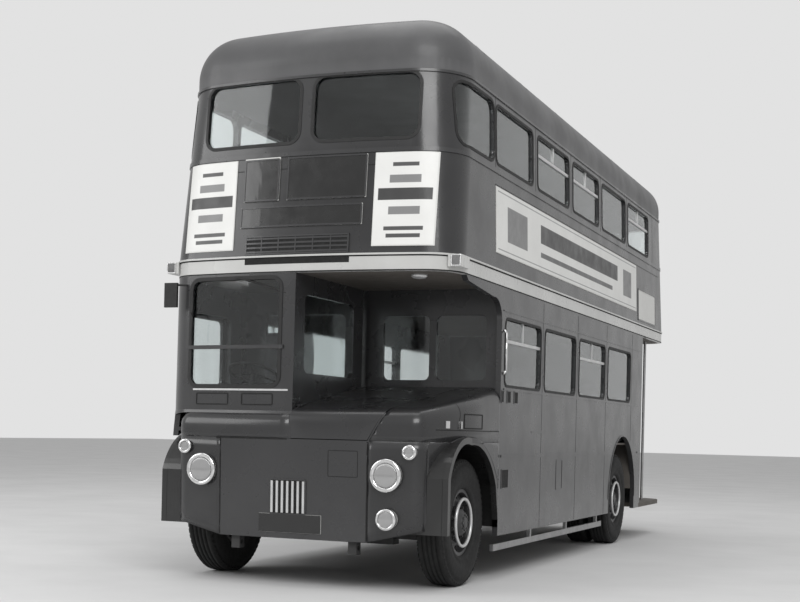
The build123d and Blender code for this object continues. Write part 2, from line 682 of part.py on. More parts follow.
# driver's place
with BuildPart() as driver_controls:
    add(span(-900, -420, f + 0, f + 420, cab_floor_z + 260, cab_floor_z + 350))
    add(span(-900, -420, f + 380, f + 450, cab_floor_z + 300, cab_floor_z + 850))
    add(span(-720, -600, f + 100, f + 320, cab_floor_z, cab_floor_z + 260))
    add(rod((-660, f - 422, cab_floor_z - 16), (-660, f - 230, cab_floor_z + 440), 25))
    add(rod((-660, f - 235, cab_floor_z + 432), (-660, f - 222, cab_floor_z + 462), 215))
    add(cab_shell.part, mode=Mode.SUBTRACT)

# glass
glass_sheet = hull(lip_z + 100, gutter_z, 18) - hull(lip_z + 100, gutter_z, 24)
with BuildPart() as window_glass:
    for cut in lower_cuts + upper_cuts + front_window_cuts + [quarter_cut, windscreen_cut] + rear_corner_cuts:
        add(glass_sheet & cut)
    for cut in bulkhead_cuts:
        add(cut & span(-big, big, bulkhead_y + 16, bulkhead_y + 24, 0, big))
    add(cab_side_window & span(cab_inner_x - 24, cab_inner_x - 16, -big * 2, big, 0, big))

with BuildPart() as door_glass:
    add(door_window & span(door_x - 17, door_x - 11, -big * 2, big, 0, big))

with BuildPart() as exit_glass:
    add(glass_sheet & exit_light)

# lamps
headlamp_x = 778.0
headlamp_z = 875.0
sidelamp_x = 948.0
sidelamp_z = 1050.0
foglamp_x = 788.0
foglamp_z = 550.0


def lamp(x, z, radius, y_front, depth):
    """A round lamp body with a rim."""
    return rod((x, y_front, z), (x, y_front + depth, z), radius)


with BuildPart() as lamps:
    for side in (-1, 1):
        add(lamp(side * headlamp_x, headlamp_z, 126, front_y + 5, 62))
        add(lamp(side * sidelamp_x, sidelamp_z, 58, front_y + 40, 60))
    add(lamp(foglamp_x, foglamp_z, 82, front_y + 5, 85))
    add(span(nose_panel_half - 50, foglamp_x, front_y + 80, front_y + 90, foglamp_z - 30, foglamp_z + 30))
    for body in (wing_nearside, wing_offside, mudguards, front_panel):
        add(body.part, mode=Mode.SUBTRACT)
    ear_cut = hull(deck_z, band_top_z)
    for side in (-1, 1):
        a, b = sorted((side * (half_width - 150), side * (half_width + 36)))
        add(span(a, b, f - 640, f - 440, 2435, 2525) - ear_cut)

# blind boxes, plates, grille and panels on the front
with BuildPart() as air_intake:
    add((hull(band_top_z - 100, gutter_z, -8) - hull(band_top_z - 100, gutter_z, 0)) &
        span(-470, 410, -big * 2, f, band_top_z, 2690))

with BuildPart() as sign_panels:
    face = hull(band_top_z, gutter_z, -8) - hull(band_top_z, gutter_z, 0)
    for x0, x1, z0, z1 in [(-512, -200, 2960, 3300), (-130, 524, 2960, 3290), (-528, 502, 2755, 2915)]:
        add(face & span(x0, x1, -big * 2, f, z0, z1))
    plate_face = hull(skirt_z, lip_z, -6) - hull(skirt_z, lip_z, 0)
    add(plate_face & span(-262, 262, -big * 2, f, 415, 556))
    face = hull(band_top_z, waist_z, -5) - hull(band_top_z, waist_z, 0)
    for x0, x1 in [(-1060, -585), (585, 1060)]:
        add(face & span(x0, x1, -big * 2, f - 420, 2585, 3295))
    add(face & span(0, big, f + 320, f + 5690, 2660, 3195))
    add(face & span(-big, 0, f + 320, f + 5690, 2660, 3195))

# ears, mirror and rails
with BuildPart() as rails:
    for side in (-1, 1):
        a, b = sorted((side * 1130.0, side * 1160.0))
        add(span(a, b, f + 600, f + 4420, 235, 290))
        for y in cross_members[:3]:
            add(span(a, b, f + y - 20, f + y + 20, 235, rail_z1 - 60))
    add(span(door_x - door_thickness, -half_width, door_y0 - 20, door_y1 + 660, door_z1 + runner_gap, door_z1 + 35))
    add(span(door_x - door_thickness, -half_width, door_y0 - 20, door_y1 + 660, door_z0 - 40, door_z0 - runner_gap))
    add(rod((1060, f + 7000, platform_z), (1060, f + 7000, deck_z), 17))
    add(rod((330, f + 7250, platform_z), (330, f + 7250, deck_z), 17))

PARTS = {
    "lower_side_nearside": lower_side_nearside,
    "lower_side_offside": lower_side_offside,
    "lower_rear_wall": lower_rear_wall,
    "front_bulkhead": front_bulkhead,
    "cab_shell": cab_shell,
    "cab_door": cab_door,
    "front_panel": front_panel,
    "wing_nearside": wing_nearside,
    "wing_offside": wing_offside,
    "mudguards": mudguards,
    "bonnet": bonnet,
    "lower_floor": lower_floor,
    "platform_bulkhead": platform_bulkhead,
    "staircase": staircase,
    "upper_floor": upper_floor,
    "band_moulding": band_moulding,
    "upper_front": upper_front,
    "upper_side_nearside": upper_side_nearside,
    "upper_side_offside": upper_side_offside,
    "upper_rear": upper_rear,
    "emergency_window": emergency_window,
    "roof": roof,
    "front_tyre_nearside": front_tyre_nearside,
    "front_tyre_offside": front_tyre_offside,
    "front_rim_nearside": front_rim_nearside,
    "front_rim_offside": front_rim_offside,
    "rear_tyres_nearside": rear_tyres_nearside,
    "rear_tyres_offside": rear_tyres_offside,
    "rear_rims_nearside": rear_rims_nearside,
    "rear_rims_offside": rear_rims_offside,
    "knuckle_nearside": knuckle_nearside,
    "knuckle_offside": knuckle_offside,
    "front_axle": front_axle,
    "rear_axle": rear_axle,
    "engine_block": engine_block,
    "underframe": underframe,
    "saloon_seats": saloon_seats,
    "driver_controls": driver_controls,
    "window_glass": window_glass,
    "door_glass": door_glass,
    "exit_glass": exit_glass,
    "rails": rails,
    "lamps": lamps,
    "air_intake": air_intake,
    "sign_panels": sign_panels,
}
for label, builder in PARTS.items():
    builder.part.label = label
    export_step(builder.part, f"parts/{label}.step")
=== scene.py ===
import json
import math

import bmesh
import bpy
from mathutils import Matrix, Vector
from mathutils.bvhtree import BVHTree


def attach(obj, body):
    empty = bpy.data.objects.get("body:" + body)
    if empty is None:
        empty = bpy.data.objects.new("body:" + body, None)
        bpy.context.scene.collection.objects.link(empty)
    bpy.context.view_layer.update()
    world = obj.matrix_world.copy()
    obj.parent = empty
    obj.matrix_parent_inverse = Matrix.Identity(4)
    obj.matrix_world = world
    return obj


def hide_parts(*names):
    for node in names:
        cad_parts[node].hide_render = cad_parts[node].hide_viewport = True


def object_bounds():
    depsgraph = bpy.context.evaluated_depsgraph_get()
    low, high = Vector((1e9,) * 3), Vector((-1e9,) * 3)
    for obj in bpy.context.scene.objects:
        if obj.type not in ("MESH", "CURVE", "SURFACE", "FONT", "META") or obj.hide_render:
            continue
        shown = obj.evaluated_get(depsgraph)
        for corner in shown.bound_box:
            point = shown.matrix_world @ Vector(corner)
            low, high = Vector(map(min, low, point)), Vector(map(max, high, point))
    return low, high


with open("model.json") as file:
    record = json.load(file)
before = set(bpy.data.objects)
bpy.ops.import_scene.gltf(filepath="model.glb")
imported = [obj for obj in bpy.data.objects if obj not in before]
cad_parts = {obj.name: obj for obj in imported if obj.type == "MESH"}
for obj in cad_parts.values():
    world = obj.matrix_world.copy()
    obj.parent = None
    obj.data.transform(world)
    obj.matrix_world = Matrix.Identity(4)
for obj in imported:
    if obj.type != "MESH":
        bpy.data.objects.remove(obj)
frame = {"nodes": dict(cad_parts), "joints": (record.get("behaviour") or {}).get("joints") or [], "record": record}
cad_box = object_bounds()
nodes = frame["nodes"]

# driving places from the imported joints, in metres: the front towards -Y and the nearside towards +X
joint_place = {joint["name"]: joint["pos_m"] for joint in frame["joints"] if "pos_m" in joint}
front_wheel_x, axle, wheel_z = joint_place["front_wheel_spin_nearside"]
rear_wheel_x, rear_axle, _ = joint_place["rear_wheels_spin_nearside"]

# levels and half widths of the body, as the solids have them
platform_top, saloon_floor, cab_floor, upper_floor = 0.420, 0.640, 1.200, 2.440
lower_half, upper_half = 1.219, 1.187

# the way that one looks at each side of the bus
FRONT, REAR, NEARSIDE, OFFSIDE = (0, 1, 0), (0, -1, 0), (-1, 0, 0), (1, 0, 0)


# nodes of a material
def feed(tree, target, inputs):
    """Gives a node's inputs their values, or links them to another node's output."""
    for key, value in inputs.items():
        if isinstance(value, bpy.types.NodeSocket):
            tree.links.new(value, target.inputs[key])
        else:
            target.inputs[key].default_value = value
    return target


def node(tree, kind, inputs, **settings):
    added = tree.nodes.new(kind)
    for key, value in settings.items():
        setattr(added, key, value)
    return feed(tree, added, inputs)


def place(tree):
    """The point on the object, in metres."""
    return node(tree, "ShaderNodeTexCoord", {}).outputs["Object"]


def ramp(tree, source, low, high, a=0.0, b=1.0):
    """A source between low and high taken from a to b."""
    inputs = {"Value": source, "From Min": low, "From Max": high, "To Min": a, "To Max": b}
    return node(tree, "ShaderNodeMapRange", inputs).outputs["Result"]


def noise(tree, scale, detail, rough=0.55, stretch=None):
    where = place(tree)
    if stretch:
        where = node(tree, "ShaderNodeMapping", {"Vector": where, "Scale": stretch}).outputs["Vector"]
    inputs = {"Vector": where, "Scale": scale, "Detail": detail, "Roughness": rough}
    return node(tree, "ShaderNodeTexNoise", inputs).outputs["Fac"]


def mix(tree, share, a, b):
    """The colour a turned into the colour b by a share; a may be the output of another mix."""
    first = a if isinstance(a, bpy.types.NodeSocket) else (*a, 1)
    return node(tree, "ShaderNodeMix", {0: share, 6: first, 7: (*b, 1)}, data_type="RGBA").outputs[2]


def times(tree, a, b):
    return node(tree, "ShaderNodeMath", {0: a, 1: b}, operation="MULTIPLY").outputs[0]


def bump(tree, shader, height, strength, distance):
    dents = node(tree, "ShaderNodeBump", {"Height": height, "Strength": strength, "Distance": distance})
    feed(tree, shader, {"Normal": dents.outputs["Normal"]})


def new_material(name):
    """An empty material, its node tree and its shader."""
    m = bpy.data.materials.new(name)
    m.use_nodes = True
    return m, m.node_tree, m.node_tree.nodes["Principled BSDF"]


def grey(level):
    return (level, level, level)


def shade(colour, by, more=0.0):
    """A colour made lighter or darker, at most white."""
    return tuple(min(1, c * by + more) for c in colour)


# kinds of material
def coach_paint(name, colour, dusty=0.35, rough=0.22, dust_top=0.9, coat=0.35):
    """Brushed enamel: faint waviness, clouding, road dust up to dust_top, streaks and worn edges."""
    m, t, s = new_material(name)
    clouds = ramp(t, noise(t, 1.7, 6), 0.35, 0.65)
    cloudy = mix(t, clouds, shade(colour, 0.86), shade(colour, 1.14))
    height = node(t, "ShaderNodeSeparateXYZ", {0: place(t)}).outputs["Z"]
    patches = ramp(t, noise(t, 5.0, 8, 0.65), 0.40, 0.68, 0.0, dusty)
    dust = times(t, ramp(t, height, 0.25, dust_top, 1.0, 0.0), patches)
    dusted = mix(t, dust, cloudy, shade(colour, 0.7, 0.045))
    streaks = ramp(t, noise(t, 1.0, 6, 0.6, (9, 9, 0.7)), 0.55, 0.75, 0.0, 0.10)
    streaked = mix(t, streaks, dusted, shade(colour, 0.55))
    edges = ramp(t, node(t, "ShaderNodeNewGeometry", {}).outputs["Pointiness"], 0.53, 0.60, 0.0, 0.35)
    feed(t, s, {
        "Base Color": mix(t, edges, streaked, shade(colour, 1.8, 0.012)),
        "Roughness": ramp(t, noise(t, 3.0, 5), 0.3, 0.7, rough, rough + 0.14),
        "Coat Weight": coat,
        "Coat Roughness": 0.12,
    })
    bump(t, s, noise(t, 14.0, 3), 0.05, 0.004)
    return m


def plain(name, colour, rough=0.5, metal=0.0, scale=20.0, vary=0.15, strength=0.2, coat=0.0):
    """A surface with fine grain and uneven tone."""
    m, t, s = new_material(name)
    patches = ramp(t, noise(t, scale * 0.2, 6), 0.3, 0.7)
    feed(t, s, {
        "Base Color": mix(t, patches, shade(colour, 1 - vary), shade(colour, 1 + vary)),
        "Roughness": ramp(t, noise(t, scale, 5), 0.3, 0.7, max(0.03, rough - 0.08), rough + 0.1),
        "Metallic": metal,
        "Coat Weight": coat,
    })
    bump(t, s, noise(t, scale * 4, 4), strength, 0.001)
    return m


def clear_glass(name, tint, rough=0.02):
    """Window glass, a little smeared."""
    m, t, s = new_material(name)
    feed(t, s, {
        "Base Color": mix(t, ramp(t, noise(t, 1.2, 3), 0.3, 0.7), shade(tint, 0.95), tint),
        "Roughness": ramp(t, noise(t, 6.0, 6), 0.4, 0.7, rough, rough + 0.05),
        "Transmission Weight": 1.0,
        "IOR": 1.45,
    })
    return m


def lens(name, colour, flutes):
    """A moulded lens: bright glass over a reflector, with fine vertical flutes."""
    m, t, s = new_material(name)
    inputs = {"Vector": place(t), "Scale": flutes}
    wave = node(t, "ShaderNodeTexWave", inputs, wave_type="BANDS", bands_direction="X").outputs["Fac"]
    feed(t, s, {
        "Base Color": mix(t, ramp(t, wave, 0.2, 0.8), shade(colour, 0.55), colour),
        "Roughness": 0.08,
        "Metallic": 0.35,
        "Coat Weight": 1.0,
    })
    bump(t, s, wave, 0.4, 0.002)
    return m


def panel_art(name, ground, bars):
    """A printed panel: bars of grey on a pale ground, each (axis, from, to, bottom, top, tone)."""
    m, t, s = new_material(name)
    edge = 0.003
    split = node(t, "ShaderNodeSeparateXYZ", {0: place(t)}).outputs
    colour = mix(t, ramp(t, noise(t, 3.0, 5), 0.3, 0.7), shade(ground, 0.93), ground)
    for axis, start, end, low, high, tone in bars:
        inside = times(t, ramp(t, split["Z"], low, low + edge), ramp(t, split["Z"], high, high + edge, 1, 0))
        inside = times(t, inside, ramp(t, split[axis], start, start + edge))
        inside = times(t, inside, ramp(t, split[axis], end, end + edge, 1, 0))
        colour = mix(t, inside, colour, grey(tone))
    feed(t, s, {"Base Color": colour, "Roughness": ramp(t, noise(t, 7.0, 5), 0.3, 0.7, 0.3, 0.5)})
    bump(t, s, noise(t, 9.0, 4), 0.05, 0.002)
    return m


# finishes: first the record's material slots, then those of new pieces only
coach_paints = {
    "body_paint": dict(colour=(0.021, 0.021, 0.022)),
    "light_paint": dict(colour=(0.40, 0.40, 0.39), dusty=0.2),
    "roof_paint": dict(colour=(0.070, 0.070, 0.072), dusty=0.1, rough=0.4, coat=0.1),
    "black_paint": dict(colour=grey(0.006), dusty=0.3, rough=0.25, dust_top=1.2),
    "wheel_paint": dict(colour=(0.025, 0.025, 0.026), dusty=0.7, rough=0.35, dust_top=1.1, coat=0.1),
}
plain_looks = {
    "floor_boards": dict(colour=(0.10, 0.09, 0.08), rough=0.7, scale=12),
    "stair_metal": dict(colour=grey(0.09)),
    "tyre": dict(colour=grey(0.011), rough=0.85, scale=30, vary=0.3, strength=0.5),
    "chassis_steel": dict(colour=grey(0.03), rough=0.6, scale=15, vary=0.4),
    "engine_iron": dict(colour=(0.06, 0.06, 0.058), rough=0.7, metal=0.4, scale=25, vary=0.4, strength=0.6),
    "seat_cloth": dict(colour=(0.10, 0.10, 0.105), rough=0.9, scale=45, vary=0.3, strength=0.3),
    "dark_plastic": dict(colour=grey(0.02), rough=0.4, scale=60),
    "panel_white": dict(colour=(0.66, 0.66, 0.64), rough=0.45, scale=6, vary=0.05, strength=0.05),
    "rail_steel": dict(colour=grey(0.35), rough=0.35, metal=0.8, scale=40),
    "lamp_metal": dict(colour=grey(0.75), rough=0.12, metal=1.0, scale=30, strength=0.02),
    "rubber": dict(colour=grey(0.012), rough=0.6, scale=50),
    "chrome": dict(colour=grey(0.78), rough=0.10, metal=1.0, scale=30, vary=0.06, strength=0.02),
    "bright_alloy": dict(colour=grey(0.62), rough=0.34, metal=0.55, scale=40, vary=0.10, strength=0.05),
    "blind_black": dict(colour=grey(0.010), rough=0.22, scale=8, strength=0.03, coat=0.4),
    # dark seams and joints, and also painted shade in the openings of the grille, the intake, the band's slot and
    # the louvres
    "seam_dark": dict(colour=grey(0.006), rough=0.8, scale=40),
    "seat_frame_steel": dict(colour=grey(0.30), rough=0.35, metal=0.8, scale=40),
    "slat_wood": dict(colour=(0.14, 0.11, 0.08), rough=0.7, scale=18, vary=0.3, strength=0.4),
}
finish = {name: coach_paint(name, **look) for name, look in coach_paints.items()}
finish.update({name: plain(name, **look) for name, look in plain_looks.items()})
finish["glass"] = clear_glass("glass", (0.86, 0.90, 0.90))
finish["lens_clear"] = lens("lens_clear", grey(0.46), 40)
finish["lens_dark"] = lens("lens_dark", grey(0.16), 60)

# the adverts carry plain bars in the tones and at the scale of the print: from, to, bottom, top, tone
side_bars = [("Y", axle + start, axle + end, low, high, tone) for start, end, low, high, tone in (
    (1.62, 4.70, 2.905, 3.070, 0.06), (1.62, 4.45, 2.780, 2.825, 0.12), (0.62, 1.20, 2.780, 3.070, 0.20),
    (4.98, 5.40, 2.780, 3.070, 0.20), (0.36, 5.65, 2.690, 2.700, 0.30), (0.36, 5.65, 3.155, 3.165, 0.30))]
poster_x = 0.822
front_bars = [("X", side * poster_x - half, side * poster_x + half, low, high, tone)
              for side in (-1, 1) for half, low, high, tone in (
                  (0.10, 3.185, 3.215, 0.08), (0.205, 2.930, 3.020, 0.05), (0.15, 2.700, 2.730, 0.08),
                  (0.13, 2.645, 2.675, 0.08), (0.12, 3.060, 3.120, 0.22), (0.12, 2.820, 2.880, 0.22))]
finish["side_art"] = panel_art("side_art", (0.74, 0.74, 0.72), side_bars)
finish["front_art"] = panel_art("front_art", (0.78, 0.78, 0.76), front_bars)

for row in frame["record"]["subparts"]:
    for slot in nodes[row["node"]].material_slots:
        slot.link = "OBJECT"
        slot.material = finish[row["material_slot"]]


# places on a plane
def arc(a, b, radius, start, stop, steps):
    """Places along an arc about (a, b), from one turn to another."""
    turns = [start + (stop - start) * i / steps for i in range(steps + 1)]
    return [(a + radius * math.cos(turn), b + radius * math.sin(turn)) for turn in turns]


def circle(count, radius, a=0.0, b=0.0, shift=0.0):
    """Places evenly round a circle about (a, b); the first may be shifted by part of a step."""
    start = 2 * math.pi * shift / count
    return arc(a, b, radius, start, start + 2 * math.pi, count)[:-1]


def run(start, end, steps):
    """Evenly spaced places between two ends of a straight line."""
    return [tuple(a + (b - a) * i / steps for a, b in zip(start, end)) for i in range(steps + 1)]


def round_frame(a0, a1, z0, z1, radius, margin=0.0, arc_steps=6, side_steps=6):
    """Places along a rectangle with rounded corners, grown by a margin."""
    a0, a1, z0, z1, radius = a0 - margin, a1 + margin, z0 - margin, z1 + margin, radius + margin
    corners = [(a1 - radius, z1 - radius, 0), (a0 + radius, z1 - radius, 90),
               (a0 + radius, z0 + radius, 180), (a1 - radius, z0 + radius, 270)]
    arcs = [arc(a, z, radius, math.radians(start), math.radians(start + 90), arc_steps)
            for a, z, start in corners]
    places = []
    for i, corner in enumerate(arcs):
        places += corner + run(corner[-1], arcs[(i + 1) % 4][0], side_steps)[1:-1]
    return places


# seats on a surface: (point, outward normal)
made = {}


def skin_of(*names):
    """A search tree over CAD nodes or made pieces, to seat pieces on their surface."""
    points, faces = [], []
    for name in names:
        mesh = (made.get(name) or nodes[name]).data
        base = len(points)
        points += [v.co.copy() for v in mesh.vertices]
        faces += [[base + i for i in p.vertices] for p in mesh.polygons]
    return BVHTree.FromPolygons(points, faces)


def cast(skin, rays):
    """The seats where lines of sight (start, direction) meet the skin."""
    seats = []
    for start, look in rays:
        hit, normal, _, _ = skin.ray_cast(start, look)
        if hit is not None:
            seats.append((hit, -normal if normal.dot(look) > 0 else normal))
    return seats


outside = 9.0  # farther from the middle than any part of the bus


def seats_on(skin, look, route):
    """Seats seen from one side; a place is (x, level), or on the sides (behind the front axle, level)."""
    look = Vector(look)
    starts = [Vector((a, 0, level)) if look.x == 0 else Vector((0, axle + a, level)) for a, level in route]
    return cast(skin, [(start - look * outside, look) for start in starts])


def ring_on(skin, level, steps=60, ends=240, reach=3.0):
    """Seats all the way round the body at one level: along a side, then round an end, twice."""
    rays = []
    for side, first_turn in ((1, 0.0), (-1, math.pi)):
        for i in range(steps):
            start = Vector((side * outside, side * (2 * reach * i / steps - reach), level))
            rays.append((start, Vector((-side, 0, 0))))
        for i in range(ends):
            turn = first_turn + math.pi * i / ends
            out = Vector((math.cos(turn), math.sin(turn), 0))
            rays.append((Vector((0, side * reach, level)) + out * outside, -out))
    return cast(skin, rays)


def thicken(work, thick):
    """Gives an open skin of the nose an inner side and a rim between the two."""
    work.normal_update()
    inside_nose = Vector((0, axle + 0.3, 0.9))
    outward = sum(v.normal.dot(v.co - inside_nose) for v in work.verts)
    inward = -thick if outward > 0 else thick
    rim = [e for e in work.edges if e.is_boundary]
    skins = list(work.faces)
    inner = {v: work.verts.new(v.co + v.normal * inward) for v in list(work.verts)}
    for face in skins:
        work.faces.new([inner[v] for v in reversed(face.verts)])
    for edge in rim:
        a, b = edge.verts
        work.faces.new((a, b, inner[b], inner[a]))


class Shape:
    """Vertices and faces gathered for one piece."""

    def __init__(self):
        self.points = []
        self.faces = []

    def add(self, points, faces):
        base = len(self.points)
        self.points += [tuple(p) for p in points]
        self.faces += [[base + i for i in face] for face in faces]
        return self

    def sheet(self, lines):
        """An open skin through lines of equally many points."""
        width = len(lines[0])
        faces = [(k * width + i, k * width + i + 1, (k + 1) * width + i + 1, (k + 1) * width + i)
                 for k in range(len(lines) - 1) for i in range(width - 1)]
        return self.add([p for line in lines for p in line], faces)

    def rings(self, points, width, closed=False):
        """Rings of width points, joined one to the next; open ends are filled."""
        count = len(points) // width
        faces = []
        for j in range(count if closed else count - 1):
            k = (j + 1) % count
            for i in range(width):
                n = (i + 1) % width
                faces.append((j * width + i, j * width + n, k * width + n, k * width + i))
        if not closed:
            faces += [tuple(reversed(range(width))), tuple(range((count - 1) * width, count * width))]
        return self.add(points, faces)

    def block(self, corners):
        """A solid with six faces; the corners come by x, then y, then z, each low then high."""
        return self.rings([corners[i] for i in (0, 1, 3, 2, 4, 5, 7, 6)], 4)

    def box(self, x0, x1, y0, y1, z0, z1):
        return self.block([(x, y, z) for x in (x0, x1) for y in (y0, y1) for z in (z0, z1)])

    def lathe(self, centre, axis, outline, sides=48, closed=False):
        """A form turned about an axis; the outline is (along the axis, radius)."""
        centre, axis = Vector(centre), Vector(axis).normalized()
        across = axis.orthogonal().normalized()
        up = axis.cross(across)
        spokes = [across * a + up * b for a, b in circle(sides, 1.0)]
        points = [centre + axis * along + spoke * radius for along, radius in outline for spoke in spokes]
        return self.rings(points, sides, closed)

    def torus(self, centre, axis, along, radius, bar, bar_sides, sides):
        """A round bar bent to a ring about an axis."""
        return self.lathe(centre, axis, circle(bar_sides, bar, along, radius), sides, closed=True)

    def rod(self, start, end, radius, sides=12):
        """A round bar with closed ends."""
        axis = Vector(end) - Vector(start)
        return self.lathe(start, axis, [(0, radius), (axis.length, radius)], sides)

    def tube(self, route, radius, sides=10):
        """A bar along a route of points."""
        for a, b in zip(route, route[1:]):
            self.rod(a, b, radius, sides)
        return self

    def ribbon(self, seats, width, rise, sink=0.003, closed=False):
        """A flat strip along seats, sunk a little into the surface."""
        count = len(seats)
        points = []
        for i, (here, normal) in enumerate(seats):
            before = seats[i - 1][0] if closed or i else here
            after = seats[(i + 1) % count][0] if closed or i < count - 1 else here
            along = (after - before).normalized()
            side = normal.cross(along).normalized() * width / 2
            points += [here - side - normal * sink, here - side + normal * rise,
                       here + side + normal * rise, here + side - normal * sink]
        return self.rings(points, 4, closed)

    def strip(self, skin, look, start, end, steps, width, rise):
        """A ribbon along a straight line seen from one side."""
        return self.ribbon(seats_on(skin, look, run(start, end, steps)), width, rise)

    def hoop(self, skin, look, area, radius, width, rise, *corners):
        """A ribbon round an area (from, to, bottom, top) with rounded corners."""
        route = round_frame(*area, radius, *corners)
        return self.ribbon(seats_on(skin, look, route), width, rise, closed=True)

    def girdle(self, skin, level, width, rise):
        """A ribbon all the way round the body."""
        return self.ribbon(ring_on(skin, level), width, rise, closed=True)

    def cover(self, skin, look, area, rise=0.002, across=12, up=6, sink=0.001):
        """A thin sheet over an area (from, to, bottom, top) that follows the skin."""
        a0, a1, z0, z1 = area
        levels = [z0 + (z1 - z0) * j / up for j in range(up + 1)]
        rows = [seats_on(skin, look, run((a0, level), (a1, level), across)) for level in levels]
        for low, high in zip(rows, rows[1:]):
            for i in range(across):
                corners = [low[i], low[i + 1], high[i + 1], high[i]]
                self.rings([p + n * rise for p, n in corners] + [p - n * sink for p, n in corners], 4)
        return self

    def make(self, name, slot_name, look=None, body="coachwork", smooth=False, replaced=(),
             thick=0.0, cut=()):
        """Makes the piece with its finish and seats it on its body.
        An open skin is given a thickness, after a cut: a point and the direction of what stays."""
        mesh = bpy.data.meshes.new(name)
        inside = [tuple(min(max(c, low), high) for c, low, high in zip(p, *cad_box)) for p in self.points]
        mesh.from_pydata(inside, [], self.faces)
        work = bmesh.new()
        work.from_mesh(mesh)
        if thick:
            bmesh.ops.remove_doubles(work, verts=work.verts, dist=0.00001)
            bmesh.ops.recalc_face_normals(work, faces=work.faces)
            if cut:
                everything = work.verts[:] + work.edges[:] + work.faces[:]
                point, kept = cut
                bmesh.ops.bisect_plane(work, geom=everything, plane_co=point,
                                       plane_no=Vector(kept).normalized(), clear_inner=True)
            thicken(work, thick)
        bmesh.ops.recalc_face_normals(work, faces=work.faces)
        work.to_mesh(mesh)
        work.free()
        mesh.materials.append(finish[look or slot_name])
        if smooth:
            mesh.shade_smooth()
        piece = bpy.data.objects.new(name, mesh)
        bpy.context.collection.objects.link(piece)
        made[name] = piece
        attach(piece, body)
        if replaced:
            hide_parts(*replaced)
        return piece


# arches over the front wheels
arch_start, arch_end, arch_flange = -0.645, 0.520, 0.055
guard_foot = 0.44


def arc_through(first, middle, last, steps):
    """Places along the circle through three places, without the first."""
    (y0, z0), (y1, z1), (y2, z2) = first, middle, last
    d = 2 * (y0 * (z1 - z2) + y1 * (z2 - z0) + y2 * (z0 - z1))
    a, b, c = y0 * y0 + z0 * z0, y1 * y1 + z1 * z1, y2 * y2 + z2 * z2
    cy = (a * (z1 - z2) + b * (z2 - z0) + c * (z0 - z1)) / d
    cz = (a * (y2 - y1) + b * (y0 - y2) + c * (y1 - y0)) / d
    radius = math.hypot(y0 - cy, z0 - cz)
    return arc(cy, cz, radius, math.atan2(z0 - cz, y0 - cy), math.atan2(z2 - cz, y2 - cy), steps)[1:]


def arch_line(grow, end=arch_end, shoulder=0.455, steps=14):
    """The arch from its front foot to its rear foot, grown outwards: (y from the axle, z)."""
    front = arch_start - grow
    spring, crown = (front, 0.86), (-0.18, 1.11 + grow)
    rear = (shoulder + grow, 0.78)
    places = [(front, guard_foot), (front, 0.60), spring]
    places += arc_through(spring, (-0.540 - grow * 0.4, 1.015 + grow * 0.8), crown, steps)
    places += arc_through(crown, (shoulder - 0.205, 1.0 + grow * 0.8), rear, steps)
    return places + [(end, 0.50), (end, guard_foot)]


outer_arch = arch_line(arch_flange)


def arch_height(y):
    """The upper edge of the arch at a place along the bus, or None behind it."""
    y = y - axle
    for (a, za), (b, zb) in zip(outer_arch[2:], outer_arch[3:]):
        if a <= y <= b and b > a:
            return za + (zb - za) * (y - a) / (b - a)
    return None


# wings: a bowed front, tight corners, bowed flanks and rounded shoulders
nose_front, nose_lean, nose_bow = -4.180, 0.020, 6.0
nose_foot, nose_lip, nose_round = 0.370, 1.128, 0.120
panel_half, wing_thick, wing_end = 0.620, 0.018, axle + arch_end
corner_radius, corner_x = 0.130, 0.925
flank_end = axle + 0.100
front_columns = [0.0, 0.10, 0.20, 0.30, 0.40, 0.50, 0.56, 0.62, 0.66, 0.70, 0.74, 0.78, 0.82, 0.86, 0.90]


def wing_plan(front, side, inset):
    """Places along a wing's plan from the middle round the corner to the side: (x, y)."""
    centre_y = front + nose_bow
    reach = nose_bow - inset
    turns = [math.asin(x / nose_bow) for x in front_columns]
    places = [(reach * math.sin(turn), centre_y - reach * math.cos(turn)) for turn in turns]
    # the corner touches the bowed front, and the flank's arc touches the corner and the straight side
    corner_y = centre_y - math.sqrt((nose_bow - corner_radius) ** 2 - corner_x ** 2)
    run_x, run_y = lower_half - corner_x, flank_end - corner_y
    flank = (run_x ** 2 + run_y ** 2 - corner_radius ** 2) / (2 * (run_x - corner_radius))
    flank_x = lower_half - flank
    begin = math.asin(corner_x / (nose_bow - corner_radius)) - math.pi / 2
    last = math.atan2(-run_y, corner_x - flank_x)
    places += arc(corner_x, corner_y, corner_radius - inset, begin, last, 12)
    places += arc(flank_x, flank_end, flank - inset, last, 0, 24)[1:]
    places += run((lower_half - inset, places[-1][1]), (lower_half - inset, wing_end), 12)[1:]
    return [(side * x, y) for x, y in places]


def face_foot(x):
    """The wing's lower edge ahead of the arch climbs towards the side."""
    return nose_foot + (abs(x) - panel_half) * 0.23


def wing_face(side, back, rows=10):
    """The wing below its lip, as far back as a place: ahead of the arch, and over it."""
    arch_front = axle + arch_start - arch_flange
    ahead, over = [], []
    foot_plan = wing_plan(nose_front + nose_lean, side, 0)
    for (fx, fy), (lx, ly) in zip(foot_plan, wing_plan(nose_front, side, 0)):
        if abs(lx) < panel_half - 0.001 or ly > back:
            continue
        low = face_foot(lx) if ly < arch_front else arch_height(ly) or nose_foot
        column = []
        for j in range(rows + 1):
            z = low + (nose_lip - low) * j / rows
            share = (z - nose_foot) / (nose_lip - nose_foot)
            column.append((fx + (lx - fx) * share, fy + (ly - fy) * share, z))
        (ahead if ly < arch_front else over).append(column)
    # both parts meet in a column on the arch's front edge
    (x0, y0, _), (x1, y1, _) = ahead[-1][-1], over[0][-1]
    x = x0 + (x1 - x0) * (arch_front - y0) / (y1 - y0)
    spring = 0.862
    ahead.append(run((x, arch_front, face_foot(x)), (x, arch_front, nose_lip), rows))
    over.insert(0, run((x, arch_front, spring), (x, arch_front, nose_lip), rows))
    return Shape().sheet(ahead).sheet(over)


